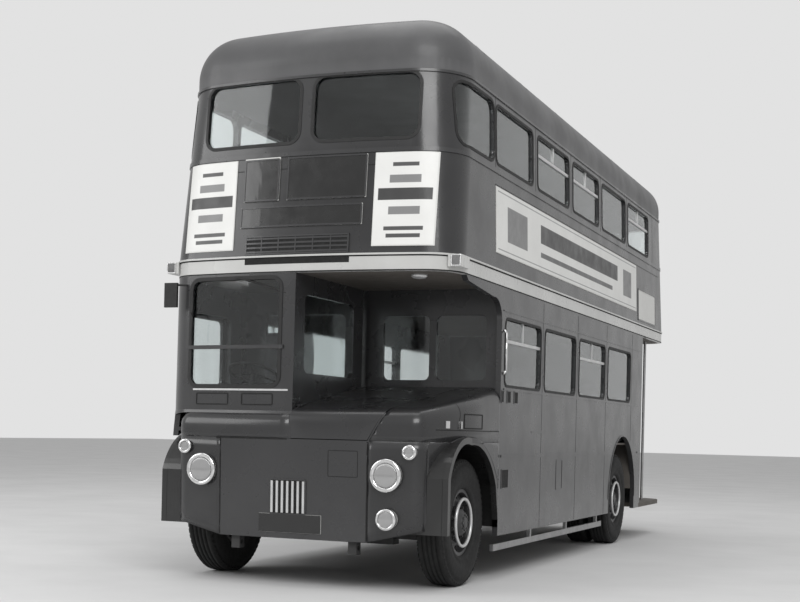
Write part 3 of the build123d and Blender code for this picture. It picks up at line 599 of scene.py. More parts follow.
def wing_top(side, y):
    """The nearside wing's top climbs towards the rear, the one below the cab is level."""
    return 1.362 + 0.165 * (y - axle + 0.8) if side > 0 else 1.340


def wing_shoulder(side, inner_x, steps=10):
    """The wing above its lip: an upright, a rounded shoulder and a flat top to inner_x."""
    lines = []
    for share in (0.0, 0.35, 0.7, 1.0):
        plan = wing_plan(nose_front, side, 0)
        lines.append([(x, y, nose_lip + (wing_top(side, y) - nose_round - nose_lip) * share)
                      for x, y in plan])
    for i in range(1, steps + 1):
        turn = math.pi / 2 * i / steps
        plan = wing_plan(nose_front, side, nose_round * (1 - math.cos(turn)))
        lines.append([(x, y, wing_top(side, y) - nose_round + nose_round * math.sin(turn)) for x, y in plan])
    edge = [p for p in lines[-1] if abs(p[0]) >= abs(inner_x)]
    return Shape().sheet(lines).sheet([edge, [(inner_x, y, z) for x, y, z in edge]])


# the nearside wing is parted from the bonnet by a leaning line, the offside one ends at the cab's step
for side, hand, back, inner_x, cut in (
        (1, "nearside", wing_end, 0.45, ((panel_half, 0, nose_lip), (1, 0, -0.58))),
        (-1, "offside", axle - 0.40, -0.020, ((0, axle - 0.560, 0), (0, -1, 0)))):
    skin = dict(smooth=True, thick=wing_thick)
    wing_face(side, back).make("wing_face_" + hand, "body_paint", **skin)
    wing_shoulder(side, inner_x).make("wing_shoulder_" + hand, "body_paint", cut=cut,
                                      replaced=("wing_" + hand,), **skin)

# mudguards over the front wheels: the flange in the arch, and the lining behind it
guards = Shape()
lining_thick = 0.012
flange = arch_line(0.0), outer_arch, 1.172, 1.2185
lining = (arch_line(arch_flange - lining_thick, 0.575, 0.490),
          arch_line(arch_flange, 0.575 + lining_thick, 0.490), 0.625, 1.174)
for side in (-1, 1):
    for low, high, x0, x1 in (flange, lining):
        points = []
        for (ya, za), (yb, zb) in zip(low, high):
            points += [(side * x0, axle + ya, za), (side * x1, axle + ya, za),
                       (side * x1, axle + yb, zb), (side * x0, axle + yb, zb)]
        guards.rings(points, 4)
guards.make("front_mudguards", "black_paint", replaced=("mudguards",))

upper_skin = skin_of("upper_front", "upper_side_nearside", "upper_side_offside", "upper_rear")
lower_skin = skin_of("lower_side_nearside", "lower_side_offside", "lower_rear_wall", "cab_shell")
nose_skin = skin_of("front_panel", "wing_face_nearside", "wing_face_offside", "wing_shoulder_nearside",
                    "wing_shoulder_offside", "bonnet")
band_skin = skin_of("band_moulding")
sign_skin = skin_of("sign_panels")
intake_skin = skin_of("air_intake")

# windows as the solids have them
# an area is from, to, bottom, top; on the sides the first two are measured behind the front axle
lower_windows = [(*ends, 1.605, 2.150) for ends in (
    (0.625, 1.690), (1.830, 2.930), (3.085, 4.180), (4.330, 5.440))]
upper_windows = [(*ends, 3.385, 3.850) for ends in (
    (0.345, 1.400), (1.555, 2.640), (2.795, 3.850), (4.010, 5.130), (5.270, 6.400))]
quarter_light = (-0.470, 0.290, 3.385, 3.860)
front_windows = [(-0.900, -0.060, 3.410, 3.905), (0.060, 0.900, 3.410, 3.905)]
rear_windows = [(side * 0.88 - 0.17, side * 0.88 + 0.17, 3.385, 3.850) for side in (-1, 1)]
windscreen = (-0.965, -0.150, 1.535, 2.360)
exit_window = (-0.56, 0.56, 3.26, 3.78)
door_window = (-0.28, 0.26, 1.56, 2.12)

# gaskets: width, rise and how far outside the opening their middle runs
gasket = 0.022, 0.004, 0.007
gaskets = Shape()
for look in (NEARSIDE, OFFSIDE):
    for area in lower_windows:
        gaskets.hoop(lower_skin, look, area, 0.06, *gasket)
    for area in upper_windows:
        gaskets.hoop(upper_skin, look, area, 0.06, *gasket)
    gaskets.hoop(upper_skin, look, quarter_light, 0.09, *gasket)
for area in front_windows:
    gaskets.hoop(upper_skin, FRONT, area, 0.09, 0.026, 0.004, 0.007)
gaskets.hoop(lower_skin, FRONT, windscreen, 0.07, 0.030, 0.006, 0.008)
for area in rear_windows:
    gaskets.hoop(upper_skin, REAR, area, 0.06, *gasket)
gaskets.make("window_gaskets", "dark_plastic", "rubber")

exit_gasket = Shape().hoop(skin_of("emergency_window"), REAR, exit_window, 0.04, *gasket)
exit_gasket.make("exit_window_gasket", "dark_plastic", "rubber", "emergency_window")

# cab door: gasket and grip
door_gasket = Shape().hoop(skin_of("cab_door"), OFFSIDE, door_window, 0.05, *gasket)
door_gasket.make("cab_door_gasket", "dark_plastic", "rubber", "cab_door")
door_grip = Shape().box(-1.2548, -1.250, axle + 0.22, axle + 0.28, 1.40, 1.52)
door_grip.make("cab_door_grip", "rail_steel", "chrome", "cab_door")

# opening lights in some side windows: a bar across the window and a short post above it
vent_bars = Shape()
bar_height, bar_depth, post_half, glass_inset, bar_end = 0.026, 0.030, 0.012, 0.021, 0.004
for side in (-1, 1):
    for windows, picks, level, wall_x in ((lower_windows, (0, 2), 1.970, lower_half),
                                          (upper_windows, (1, 2, 4), 3.685, upper_half)):
        x = side * (wall_x - glass_inset)
        for start, end, _, top in [windows[i] for i in picks]:
            vent_bars.box(x - bar_depth / 2, x + bar_depth / 2, axle + start - bar_end, axle + end + bar_end,
                          level - bar_height / 2, level + bar_height / 2)
            middle = axle + (start + end) / 2
            vent_bars.box(x - post_half, x + post_half, middle - post_half, middle + post_half,
                          level, top + bar_end)
vent_bars.make("window_vent_bars", "rail_steel", "bright_alloy")

# seams between panels: width and rise
seam = 0.005, 0.001
seams = Shape()
for x in (-panel_half, panel_half):
    seams.strip(nose_skin, FRONT, (x, 0.376), (x, 1.122), 16, 0.010, 0.0012)
seams.strip(nose_skin, FRONT, (-0.66, 1.127), (-0.03, 1.127), 20, 0.012, 0.0015)
seams.hoop(nose_skin, FRONT, (0.312, 0.546, 0.854, 1.049), 0.01, *seam)
for look, start, end in ((NEARSIDE, 0.30, 7.0), (OFFSIDE, 0.30, 7.0), (FRONT, -1.0, 1.0)):
    seams.strip(upper_skin, look, (start, 3.205), (end, 3.205), 24, 0.006, 0.001)
for look in (NEARSIDE, OFFSIDE):
    for y in (1.760, 3.010, 4.250, 5.520):
        seams.strip(lower_skin, look, (y, 1.04), (y, 2.38), 12, *seam)
        seams.strip(lower_skin, look, (y, 0.38), (y, 1.00), 8, *seam)
    for y in (0.318, 1.480, 2.715, 3.930, 5.200, 6.650):
        seams.strip(upper_skin, look, (y, 3.345), (y, 3.93), 8, *seam)
seams.strip(nose_skin, NEARSIDE, (-0.62, 1.221), (0.50, 1.221), 18, 0.007, 0.0012)
seams.strip(nose_skin, NEARSIDE, (-0.36, 1.23), (-0.30, 1.44), 10, 0.006, 0.0012)
seams.make("panel_seams", "black_paint", "seam_dark")

band_lines = Shape().girdle(band_skin, 2.406, 0.010, 0.002).girdle(band_skin, 2.516, 0.010, 0.002)
band_lines.make("band_edge_lines", "black_paint", "seam_dark")

# beads along the lower deck's sides and on the line between the nearside wing and the bonnet
side_beads = Shape()
for look in (NEARSIDE, OFFSIDE):
    side_beads.strip(lower_skin, look, (0.60, 1.570), (5.95, 1.570), 40, 0.016, 0.006)
    side_beads.strip(lower_skin, look, (0.56, 2.215), (5.95, 2.215), 40, 0.012, 0.005)
side_beads.strip(lower_skin, NEARSIDE, (1.44, 1.225), (3.23, 1.225), 16, 0.008, 0.004)
side_beads.strip(nose_skin, FRONT, (0.628, 1.130), (0.742, 1.335), 12, 0.010, 0.006)
side_beads.make("side_beads", "body_paint")

# painted shade: dark sheets over the grille, the air intake and the slot in the band stand for the shade in their
# recesses
grille = (-0.159, 0.124, 0.562, 0.812)
intake = (-0.462, 0.402, 2.545, 2.682)
band_slot = (-0.474, 0.413, 2.468, 2.533)
recess_shade = Shape().cover(nose_skin, FRONT, grille, 0.0015).cover(intake_skin, FRONT, intake, 0.001)
recess_shade.cover(band_skin, FRONT, band_slot, 0.0015).make("grille_ground", "black_paint", "seam_dark")

# the grille's seven bars
grille_bars = Shape()
grille_left, grille_right, grille_low, grille_high = grille
bar_width, bar_count, bar_gap = 0.018, 7, 0.004
for i in range(bar_count):
    x = grille_left + bar_width / 2 + i * (grille_right - grille_left - bar_width) / (bar_count - 1)
    low, high = (x, grille_low + bar_gap), (x, grille_high - bar_gap)
    grille_bars.strip(nose_skin, FRONT, low, high, 6, bar_width, 0.010)
grille_bars.make("grille_bars", "rail_steel", "bright_alloy")

# frames of the grille and the intake, with the intake's slats and uprights
frames = Shape()
frames.hoop(nose_skin, FRONT, grille, 0.010, 0.012, 0.007, 0.007)
frames.hoop(intake_skin, FRONT, (-0.470, 0.409, 2.540, 2.688), 0.008, 0.012, 0.005, -0.006)
intake_left, intake_right, intake_low, intake_high = intake
for level in (2.562, 2.596, 2.630, 2.664):
    frames.strip(intake_skin, FRONT, (intake_left, level), (intake_right, level), 10, 0.014, 0.004)
for i in range(1, 6):
    x = -0.470 + 0.879 * i / 6
    frames.strip(intake_skin, FRONT, (x, intake_low), (x, intake_high), 4, 0.010, 0.005)
frames.make("grille_and_intake_frames", "body_paint")

# mouldings round the body: waist and gutter, and the band's lip
mouldings = Shape().girdle(upper_skin, 3.317, 0.034, 0.008).girdle(upper_skin, 3.918, 0.020, 0.010)
mouldings.make("waist_and_gutter_mouldings", "body_paint")
Shape().girdle(band_skin, 2.528, 0.014, 0.010).make("band_mouldings", "light_paint")

# trim along the lower sides and round the rear wheels' arches
side_trim = Shape()
trim_level, rear_arch_z, rear_arch_radius, flat_side = 1.020, 0.555, 0.658, 1.21
for look in (NEARSIDE, OFFSIDE):
    for start, end in ((0.56, 4.35), (5.90, 6.00)):
        side_trim.strip(lower_skin, look, (start, trim_level), (end, trim_level), 24, 0.020, 0.006)
    route = arc(rear_axle - axle, rear_arch_z, rear_arch_radius, math.radians(-12), math.radians(192), 24)
    side_trim.ribbon([s for s in seats_on(lower_skin, look, route) if abs(s[0].x) > flat_side], 0.014, 0.006)
side_trim.make("side_trim_strips", "body_paint")

# blank blinds and number plate, and the blinds' frames
blinds = [(-0.505, -0.207, 2.967, 3.283), (-0.123, 0.517, 2.967, 3.283), (-0.521, 0.495, 2.762, 2.908)]
number_plate = (-0.261, 0.261, 0.416, 0.555)
blind_border = 0.007
signs, sign_frames = Shape(), Shape()
for area in blinds + [number_plate]:
    signs.cover(sign_skin, FRONT, area)
signs.make("blind_and_plate_faces", "black_paint", "blind_black")
for x0, x1, z0, z1 in blinds:
    area = (x0 - blind_border, x1 + blind_border, z0 - blind_border, z1 + blind_border)
    sign_frames.hoop(sign_skin, FRONT, area, 0.012, 0.012, 0.006, -0.006, 3, 8)
sign_frames.make("blind_frames", "body_paint")

# adverts with plain bars
side_advert = (0.326, 5.684, 2.666, 3.189)
for name, look, area, art in (
        ("side_advert_nearside", NEARSIDE, side_advert, "side_art"),
        ("side_advert_offside", OFFSIDE, side_advert, "side_art"),
        ("poster_offside", FRONT, (-1.050, -0.592, 2.592, 3.288), "front_art"),
        ("poster_nearside", FRONT, (0.592, 1.050, 2.592, 3.288), "front_art")):
    Shape().cover(sign_skin, look, area, 0.0015, 24, 8).make(name, "panel_white", art)

# the blank framed panel near the rear of the nearside
rear_area = (5.81, 6.80, 2.580, 2.940)
Shape().cover(upper_skin, NEARSIDE, rear_area).make("rear_side_panel", "panel_white")
rear_frame = Shape().hoop(upper_skin, NEARSIDE, rear_area, 0.01, 0.016, 0.006)
rear_frame.make("rear_side_panel_frame", "body_paint")

# ceiling lamp under the canopy
canopy_bowl = [(-0.002, 0.062), (0.012, 0.062), (0.026, 0.050), (0.034, 0.001)]
canopy = Shape().lathe((0.86, axle - 0.46, 2.400), (0, 0, -1), canopy_bowl, 32)
canopy.make("canopy_lamp", "rail_steel", "bright_alloy", smooth=True)

# front lamps: bowl, bright rim and lens; x, z, radius of rim and lens, depth and place behind the foremost
headlamp, sidelamp = (0.126, 0.092, 0.062, 0.005), (0.058, 0.042, 0.060, 0.040)
fog_lamp = (0.082, 0.066, 0.085, 0.005)
front_lamps = [(-0.778, 0.875, *headlamp), (0.778, 0.875, *headlamp), (-0.948, 1.050, *sidelamp),
               (0.948, 1.050, *sidelamp), (0.788, 0.550, *fog_lamp)]
lenses, rims, bowls, rear_lenses = Shape(), Shape(), Shape(), Shape()
foremost = -4.185
for x, z, rim, glass, depth, back in front_lamps:
    centre, axis = (x, foremost + back, z), (0, 1, 0)
    dome = 0.008 if rim > 0.06 else 0.005
    domed = [(0.010 - dome * s, max(0.0005, (glass - 0.002) * c))
             for c, s in arc(0, 0, 1, 0, math.pi / 2, 6)]
    lenses.lathe(centre, axis, [(0.020, glass)] + domed)
    rims.lathe(centre, axis, [(0.010, glass), (0.002, rim - 0.022), (0.001, rim - 0.012),
                              (0.006, rim - 0.003), (0.014, rim), (0.026, rim - 0.001),
                              (0.028, rim - 0.008), (0.018, glass)], closed=True)
    bowls.lathe(centre, axis, [(0.026, rim - 0.003), (depth * 0.6, rim - 0.006), (depth, rim - 0.010),
                               (depth + 0.002, 0.001)])

# rear lamps, and the indicators in their ears at the band
for x in (-1.000, 0.130):
    spot, normal = seats_on(lower_skin, REAR, [(x, 0.960)])[0]
    rims.lathe(spot, normal, [(-0.004, 0.047), (0.0085, 0.048), (0.0095, 0.044), (-0.004, 0.043)], 32, True)
    rear_lenses.lathe(spot, normal, [(-0.004, 0.044), (0.004, 0.042), (0.008, 0.030), (0.0092, 0.001)], 32)
ear_front, ear_back = axle - 0.636, axle - 0.440
for side in (-1, 1):
    rear_lenses.box(side * 1.185, side * 1.246, ear_front - 0.0055, ear_front, 2.445, 2.515)
    bowls.box(side * 1.150, side * 1.2548, ear_front, ear_back, 2.435, 2.525)
    ring = round_frame(*sorted((side * 1.176, side * 1.2545)), 2.436, 2.524, 0.010, -0.004)
    seats = [(Vector((x, ear_front - 0.001, z)), Vector((0, -1, 0))) for x, z in ring]
    rims.ribbon(seats, 0.008, 0.006, closed=True)
lenses.make("lamp_lenses", "glass", "lens_clear", smooth=True)
rear_lenses.make("rear_lamp_and_indicator_lenses", "glass", "lens_dark")
rims.make("lamp_rims", "lamp_metal", "chrome", smooth=True)
bowls.make("lamp_bowls", "lamp_metal", "light_paint", replaced=("lamps",))

# tyres: half an outline, (across, radius) from the bead to the middle of the tread, and shoulder blocks
half_outline = [(-0.083, 0.262), (-0.097, 0.270), (-0.103, 0.285), (-0.106, 0.300), (-0.104, 0.303),
                (-0.112, 0.330), (-0.118, 0.360), (-0.120, 0.390), (-0.118, 0.420), (-0.112, 0.450),
                (-0.108, 0.452), (-0.104, 0.472), (-0.097, 0.490), (-0.088, 0.498), (-0.062, 0.500),
                (-0.060, 0.489), (-0.050, 0.489), (-0.048, 0.500), (-0.025, 0.500), (-0.023, 0.489),
                (-0.013, 0.489), (-0.011, 0.500)]
tyre_outline = half_outline + [(-across, radius) for across, radius in reversed(half_outline)]
block_count, block_half, block_foot = 60, 0.017, 0.470
block_inner, block_inner_top = 0.074, 0.4995
block_outer, block_outer_top = 0.106, 0.483
twin_half = 0.135


def add_tyre(tyre, x, y):
    """A tyre and its shoulder blocks about the wheel's middle."""
    tyre.lathe((x, y, wheel_z), (1, 0, 0), tyre_outline, 96, closed=True)
    for c, s in circle(block_count, 1.0):
        for side in (-1, 1):
            tyre.block([(x + side * across, y + c * half - s * radius, wheel_z + s * half + c * radius)
                        for across, top in ((block_inner, block_inner_top), (block_outer, block_outer_top))
                        for half in (-block_half, block_half) for radius in (block_foot, top)])


# tyres, at the rear as twins
twins = (rear_wheel_x + twin_half, rear_wheel_x - twin_half)
wheels = []
for end, tyre_name, wheel, places, y, hub in (
        ("front", "front_tyre", "front_wheel", (front_wheel_x,), axle, 0.118),
        ("rear", "rear_tyres", "rear_wheels", twins, rear_axle, 0.090)):
    for hand, side in (("_nearside", 1), ("_offside", -1)):
        tyre = Shape()
        for x in places:
            add_tyre(tyre, side * x, y)
        tyre.make(tyre_name + hand + "_tread", "tyre", None, wheel + hand, True, (tyre_name + hand,))
        wheels.append((end + hand, wheel + hand, side, side * places[0], y, hub))

# bright nut guard rings, wheel nuts on their studs, the hub's bolts and its cap
for name, body, side, x, y, hub in wheels:
    ring = Shape().torus((x, y, wheel_z), (side, 0, 0), 0.108, 0.185, 0.0130, 12, 64)
    ring.make("nut_guard_ring_" + name, "rail_steel", "bright_alloy", body, True)
    nuts = Shape()
    for ny, nz in circle(10, 0.140, y, wheel_z, 0.5):
        nuts.rod((x + side * 0.036, ny, nz), (x + side * 0.064, ny, nz), 0.018, 6)
        nuts.rod((x + side * 0.060, ny, nz), (x + side * 0.076, ny, nz), 0.010, 10)
    for ny, nz in circle(8, 0.060, y, wheel_z):
        nuts.rod((x + side * (hub - 0.004), ny, nz), (x + side * (hub + 0.010), ny, nz), 0.009, 6)
    cap = [(hub - 0.004, 0.046), (hub + 0.008, 0.044), (hub + 0.012, 0.030), (hub + 0.013, 0.001)]
    nuts.lathe((x, y, wheel_z), (side, 0, 0), cap, 32).make("wheel_nuts_" + name, "wheel_paint", None, body)

# windscreen: the bar across it and the wiper
bar_z = 1.832
bowed = [(Vector((x, axle - 0.800 + x * x / (2 * nose_bow), bar_z)), Vector((0, -1, 0)))
         for x in (-0.9, -0.7, -0.5, -0.3, -0.14)]
left_end = seats_on(lower_skin, FRONT, [(-0.985, bar_z), (-0.975, bar_z)])
right_end = seats_on(lower_skin, FRONT, [(-0.130, bar_z), (-0.110, bar_z)])
Shape().ribbon(left_end + bowed + right_end, 0.030, 0.014).make("windscreen_bar", "body_paint")
wiper = Shape()
pivot = seats_on(lower_skin, FRONT, [(-0.536, 2.375)])[0][0]
wiper.tube([pivot + Vector((0, 0.004, 0)), pivot + Vector((0, -0.022, -0.004)),
            (-0.30, pivot.y - 0.018, 2.31), (-0.10, pivot.y - 0.020, 2.245)], 0.006)
wiper.rod((-0.42, pivot.y - 0.004, 2.345), (-0.13, pivot.y - 0.010, 2.255), 0.007)
wiper.make("wiper", "dark_plastic", "rubber", smooth=True)

# mirrors: the box on its arm outside the cab's corner, and the rod inside the windscreen's edge
mirrors = Shape()
corner, rod_end = (spot for spot, _ in seats_on(lower_skin, FRONT, [(-1.030, 2.330), (-0.985, 2.10)]))
mirrors.tube([corner, (-1.10, corner.y - 0.04, 2.33), (-1.14, corner.y - 0.04, 2.30)], 0.009)
mirrors.box(-1.200, -1.085, corner.y - 0.065, corner.y - 0.040, 2.150, 2.345)
mirrors.tube([rod_end, (-0.93, axle - 0.815, 2.10), (-0.905, axle - 0.822, 2.06),
              (-0.915, axle - 0.822, 1.88)], 0.007)
mirrors.make("mirrors", "dark_plastic", "rubber")

# grab rail on the first nearside pillar
grab_y, grab_out = axle + 0.570, 1.244
grab = Shape().tube([(lower_half, grab_y, 2.060), (grab_out, grab_y, 2.030), (grab_out, grab_y, 1.720),
                     (lower_half, grab_y, 1.690)], 0.010)
grab.make("grab_rail", "rail_steel", "chrome", smooth=True)

# bright strip and two flaps below the windscreen
cab_strip = Shape().strip(lower_skin, FRONT, (-0.93, 1.500), (-0.06, 1.500), 16, 0.014, 0.006)
cab_strip.make("cab_front_strip", "rail_steel", "bright_alloy")
cab_flaps = Shape().hoop(lower_skin, FRONT, (-0.895, -0.596, 1.385, 1.470), 0.008, 0.008, 0.003)
cab_flaps.hoop(lower_skin, FRONT, (-0.467, -0.194, 1.385, 1.470), 0.008, 0.008, 0.003)
cab_flaps.make("cab_front_flaps", "black_paint", "seam_dark")

# bonnet catches and the blank plate's frame on the nearside flank
catches = Shape()
for spot, _ in seats_on(nose_skin, NEARSIDE, [(-0.50, 1.262), (-0.34, 1.262)]):
    catches.box(spot.x - 0.004, spot.x + 0.020, spot.y - 0.012, spot.y + 0.012, 1.235, 1.290)
catches.make("bonnet_catches", "rail_steel", "chrome")
plate = Shape().hoop(nose_skin, NEARSIDE, (-0.27, 0.06, 1.238, 1.346), 0.006, 0.010, 0.003)
plate.make("flank_plate_frame", "black_paint", "seam_dark")

# louvres behind the front wheel, their openings covered by sheets of painted shade, and the frame of a hatch
slots, slot_frames = Shape(), Shape()
for area in ((0.545, 0.600, 1.460, 1.560), (0.700, 0.795, 1.460, 1.560), (0.900, 1.000, 1.460, 1.560),
             (0.590, 0.770, 0.755, 0.910)):
    slots.cover(lower_skin, NEARSIDE, area, 0.0012, 4, 4)
    slot_frames.hoop(lower_skin, NEARSIDE, area, 0.008, 0.008, 0.004)
slot_frames.hoop(lower_skin, NEARSIDE, (2.300, 2.510, 0.695, 0.970), 0.014, 0.008, 0.003)
slots.make("side_slots", "black_paint", "seam_dark")
slot_frames.make("side_slot_frames", "body_paint")


# upholstery
def bulge(u, v, w):
    """Moves a point of the cube from -1 to 1 onto a stuffed pad."""
    ru = u * math.sqrt(max(0.0, 1 - 0.16 * v * v - 0.16 * w * w))
    rv = v * math.sqrt(max(0.0, 1 - 0.10 * u * u - 0.22 * w * w))
    rw = w * math.sqrt(max(0.0, 1 - 0.12 * u ** 8 - 0.16 * v ** 6))
    ru *= 1 - 0.012 * (1 - v * v)
    rv *= 1 - 0.02 * (1 - u * u)
    seam_depth = math.exp(-(u / 0.035) ** 2) * 0.10 if w > 0 else 0
    return ru, rv, rw * (0.90 + 0.10 * (1 - u ** 4) * (1 - v ** 4) - seam_depth)


def cushion(shape, centre, size, standing=False, cells=(14, 8, 4)):
    """A pad with rounded edges, sides that pull in between the corners, a crown and a middle seam.
    It lies with its crown up, or stands with its crown towards the front."""
    grid, points, faces = {}, [], []

    def corner(cell):
        if cell not in grid:
            u, v, w = bulge(*(2 * i / count - 1 for i, count in zip(cell, cells)))
            grid[cell] = len(points)
            turned = (u, -w, v) if standing else (u, v, w)
            points.append([middle + share * side / 2 for middle, share, side in zip(centre, turned, size)])
        return grid[cell]

    for a, b, c in ((0, 1, 2), (0, 2, 1), (1, 2, 0)):
        for i in range(cells[a]):
            for j in range(cells[b]):
                for k in (0, cells[c]):
                    face = []
                    for da, db in ((0, 0), (1, 0), (1, 1), (0, 1)):
                        spots = {a: i + da, b: j + db, c: k}
                        face.append(corner((spots[0], spots[1], spots[2])))
                    faces.append(face)
    shape.add(points, faces)


# saloon seats for two: the nearside one's inner and outer x, then y behind the front axle, on both decks
aisle_x = 0.320
seat_rows = [(1.150, y, saloon_floor) for y in (0.9, 1.65, 2.4, 3.15, 3.9)]
seat_rows += [(1.120, y, upper_floor) for y in (0.25, 0.95, 1.65, 2.35, 3.05, 3.75, 4.45, 5.15)]
cushions, seat_frames = Shape(), Shape()
for window_x, row_y, floor_z in seat_rows:
    y = axle + row_y
    for x0, x1 in ((-window_x, -aisle_x), (aisle_x, window_x)):
        mid, width = (x0 + x1) / 2, x1 - x0 - 0.01
        cushion(cushions, (mid, y + 0.178, floor_z + 0.385), (width, 0.352, 0.105))
        cushion(cushions, (mid, y + 0.400, floor_z + 0.665), (width, 0.072, 0.450), True)
        for x in (mid - 0.25, mid + 0.25):
            for leg_y in (y + 0.10, y + 0.34):
                seat_frames.rod((x, leg_y, floor_z), (x, leg_y, floor_z + 0.345), 0.014)
            seat_frames.rod((x, y + 0.38, floor_z + 0.34), (x, y + 0.43, floor_z + 0.86), 0.012)
        seat_frames.box(x0 + 0.02, x1 - 0.02, y + 0.02, y + 0.38, floor_z + 0.322, floor_z + 0.336)
        back_z, rail_z = floor_z + 0.84, floor_z + 0.885
        seat_frames.tube([(x0 + 0.02, y + 0.425, back_z), (x0 + 0.03, y + 0.43, rail_z),
                          (x1 - 0.03, y + 0.43, rail_z), (x1 - 0.02, y + 0.425, back_z)], 0.013)
# the long seats over the rear wheels
for side in (-1, 1):
    cushion(cushions, (side * 0.905, axle + 5.11, 1.166), (0.480, 1.170, 0.066), cells=(8, 24, 4))
seat_frames.make("seat_frames", "rail_steel", "seat_frame_steel")
saloon = cushions.make("seat_cushions", "seat_cloth", smooth=True, replaced=("saloon_seats",))

# the driver's seat, pedestal, steering column and wheel
driver_x, column_foot, column_top = -0.66, axle - 0.420, axle - 0.230
driver_pad, driver_set = Shape(), Shape()
cushion(driver_pad, (driver_x, axle + 0.205, cab_floor + 0.305), (0.470, 0.400, 0.086), cells=(10, 10, 4))
cushion(driver_pad, (driver_x, axle + 0.415, cab_floor + 0.600), (0.470, 0.066, 0.480), True, (10, 10, 4))
driver_set.box(-0.72, -0.60, axle + 0.10, axle + 0.32, cab_floor, cab_floor + 0.262)
driver_set.box(-0.87, -0.45, axle + 0.02, axle + 0.40, cab_floor + 0.258, cab_floor + 0.270)
driver_set.rod((driver_x, column_foot, cab_floor - 0.005), (driver_x, column_top, cab_floor + 0.440), 0.025)
wheel_axis = Vector((0, 0.013, 0.030)).normalized()
wheel_centre = Vector((driver_x, axle - 0.228, cab_floor + 0.447))
driver_set.torus(wheel_centre, wheel_axis, 0.0, 0.203, 0.012, 10, 48)
for i in range(3):
    spoke = Matrix.Rotation(2 * math.pi * i / 3, 3, wheel_axis) @ wheel_axis.orthogonal().normalized()
    driver_set.rod(wheel_centre, wheel_centre + spoke * 0.200, 0.008)
driver_set.lathe(wheel_centre, wheel_axis, [(-0.015, 0.034), (0.010, 0.034), (0.014, 0.001)], 24)
driver_set.make("driver_column_and_wheel", "dark_plastic", "rubber", replaced=("driver_controls",))
driver_pad.make("driver_seat_pads", "seat_cloth", smooth=True)

# floor slats on the platform
slats = Shape()
for i in range(16):
    x = -0.44 + i * 0.095
    slats.box(x, x + 0.045, axle + 6.12, axle + 7.20, platform_top - 0.001, platform_top + 0.004)
slats.make("platform_slats", "floor_boards", "slat_wood")

# stairs from the platform to the upper floor, with a side board and nosings
stairs, nosings = Shape(), Shape()
stair_foot, stair_head, stair_steps, stair_inner = axle + 7.400, axle + 6.072, 8, -0.520
stair_rise = (upper_floor - platform_top) / (stair_steps + 1)
stair_going = (stair_foot - stair_head) / stair_steps
ground = platform_top + 0.001
for step in range(stair_steps):
    top = platform_top + (step + 1) * stair_rise
    back = stair_foot - (step + 1) * stair_going
    front = back + stair_going
    wall = -1.172 if step else -1.095
    stairs.box(wall, stair_inner, back, front + 0.020, max(ground, top - stair_rise - 0.030), top)
    nosings.box(wall + 0.03, stair_inner - 0.015, front - 0.030, front + 0.022, top - 0.002, top + 0.004)
side_board = [(stair_foot, ground), (stair_foot, platform_top + 2 * stair_rise), (axle + 6.36, 2.399),
              (axle + 6.06, 2.399), (axle + 6.06, 2.400 - 2.2 * stair_rise), (stair_foot - 0.26, ground)]
stairs.rings([(x, y, z) for x in (stair_inner, stair_inner + 0.020) for y, z in side_board], len(side_board))
stairs.make("full_staircase", "stair_metal", replaced=("staircase",))
nosings.make("stair_nosings", "rail_steel", "bright_alloy")

# guard round the stairs' opening in the upper floor
guard = Shape()
guard_x, guard_wall_x, guard_z, guard_back = -0.480, -0.984, 3.320, axle + 7.29
for x, y in ((guard_x, axle + 6.12), (guard_x, axle + 6.66), (guard_x, axle + 7.27),
             (guard_wall_x, guard_back)):
    guard.rod((x, y, upper_floor), (x, y, guard_z), 0.012)
guard.tube([(guard_x, axle + 6.10, guard_z), (guard_x, guard_back, guard_z),
            (guard_wall_x, guard_back, guard_z)], 0.016)
guard.make("stair_guard", "rail_steel", "chrome", smooth=True)

# strips over the roof's joints
roof_strips, roof_skin = Shape(), skin_of("roof")
down = Vector((0, 0, -1))
for i in range(6):
    y, above = -3.05 + 1.20 * i, 6.0
    rays = [(Vector(start), down) for start in run((-1.10, y, above), (1.10, y, above), 32)]
    roof_strips.ribbon(cast(roof_skin, rays), 0.030, 0.003)
roof_strips.make("roof_joint_strips", "roof_paint")

# studio floor
floor_mesh = bpy.data.meshes.new("studio_floor")
floor_mesh.from_pydata([(-60, -40, 0), (60, -40, 0), (60, 90, 0), (-60, 90, 0)], [], [(0, 1, 2, 3)])
floor = bpy.data.objects.new("studio_floor", floor_mesh)
bpy.context.collection.objects.link(floor)
floor_look, floor_tree, floor_shader = new_material("studio_floor")
patches = ramp(floor_tree, noise(floor_tree, 0.9, 5), 0.3, 0.7)
floor_colour = mix(floor_tree, patches, grey(0.58), grey(0.64))
feed(floor_tree, floor_shader, {"Base Color": floor_colour, "Roughness": 0.9})
floor_mesh.materials.append(floor_look)

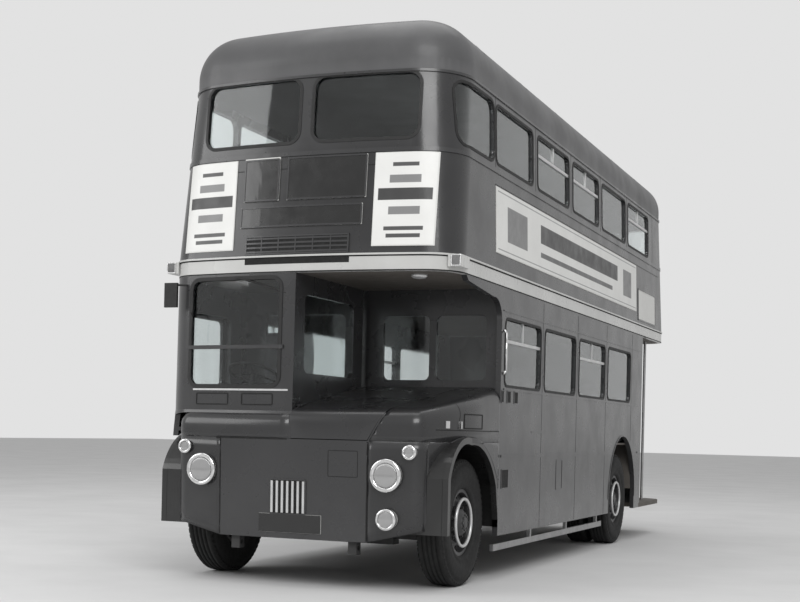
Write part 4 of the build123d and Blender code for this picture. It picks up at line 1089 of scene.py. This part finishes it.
# world: the pale wall is a little brighter to the camera, also through glass, than as a light
world = bpy.data.worlds.new("studio")
bpy.context.scene.world = world
world.use_nodes = True
sky = world.node_tree
wall_colour = (*grey(0.80), 1)
as_light = feed(sky, sky.nodes["Background"], {"Color": wall_colour, "Strength": 0.75})
as_seen = node(sky, "ShaderNodeBackground", {"Color": wall_colour, "Strength": 0.95})
ray = node(sky, "ShaderNodeLightPath", {}).outputs
rays = {0: ray["Is Camera Ray"], 1: ray["Is Transmission Ray"]}
seen = node(sky, "ShaderNodeMath", rays, operation="MAXIMUM")
mixer = node(sky, "ShaderNodeMixShader", {0: seen.outputs[0], 1: as_light.outputs[0], 2: as_seen.outputs[0]})
feed(sky, sky.nodes["World Output"], {"Surface": mixer.outputs[0]})


def area_light(name, position, target, size, power):
    data = bpy.data.lights.new(name, "AREA")
    data.shape = "RECTANGLE"
    data.size, data.size_y = size
    data.energy = power
    light = bpy.data.objects.new(name, data)
    light.location = position
    light.rotation_euler = (Vector(target) - Vector(position)).to_track_quat("-Z", "Y").to_euler()
    bpy.context.collection.objects.link(light)


area_light("key", (9, -16, 12), (0, 0, 2), (10, 8), 1500)
area_light("fill", (-12, -12, 8), (0, -2, 2), (10, 8), 700)
area_light("top", (0, 0, 16), (0, 0, 0), (12, 16), 900)

# camera solved from the photograph: angles in radians, the rest of the lens in the photograph's pixels
yaw, pitch, roll = 0.40195, -0.00157, 0.02374
eye = Vector((4.59, -13.536, 1.208))
photo_width, photo_height = 800, 602
focal_pixels, centre_pixel_x, centre_pixel_y = 1372.2, 364.9, 432.2
lens_data = bpy.data.cameras.new("camera")
lens_data.sensor_width = 36.0
lens_data.lens = lens_data.sensor_width * focal_pixels / photo_width
lens_data.shift_x = (photo_width / 2 - centre_pixel_x) / photo_width
lens_data.shift_y = (centre_pixel_y - photo_height / 2) / photo_width
lens_data.clip_end = 300
camera = bpy.data.objects.new("camera", lens_data)
level_view = Matrix.Rotation(yaw, 4, "Z") @ Matrix.Rotation(math.pi / 2 + pitch, 4, "X")
camera.matrix_world = Matrix.Translation(eye) @ level_view @ Matrix.Rotation(roll, 4, "Z")
bpy.context.collection.objects.link(camera)
bpy.context.scene.camera = camera
bpy.context.scene.view_settings.view_transform = "Standard"
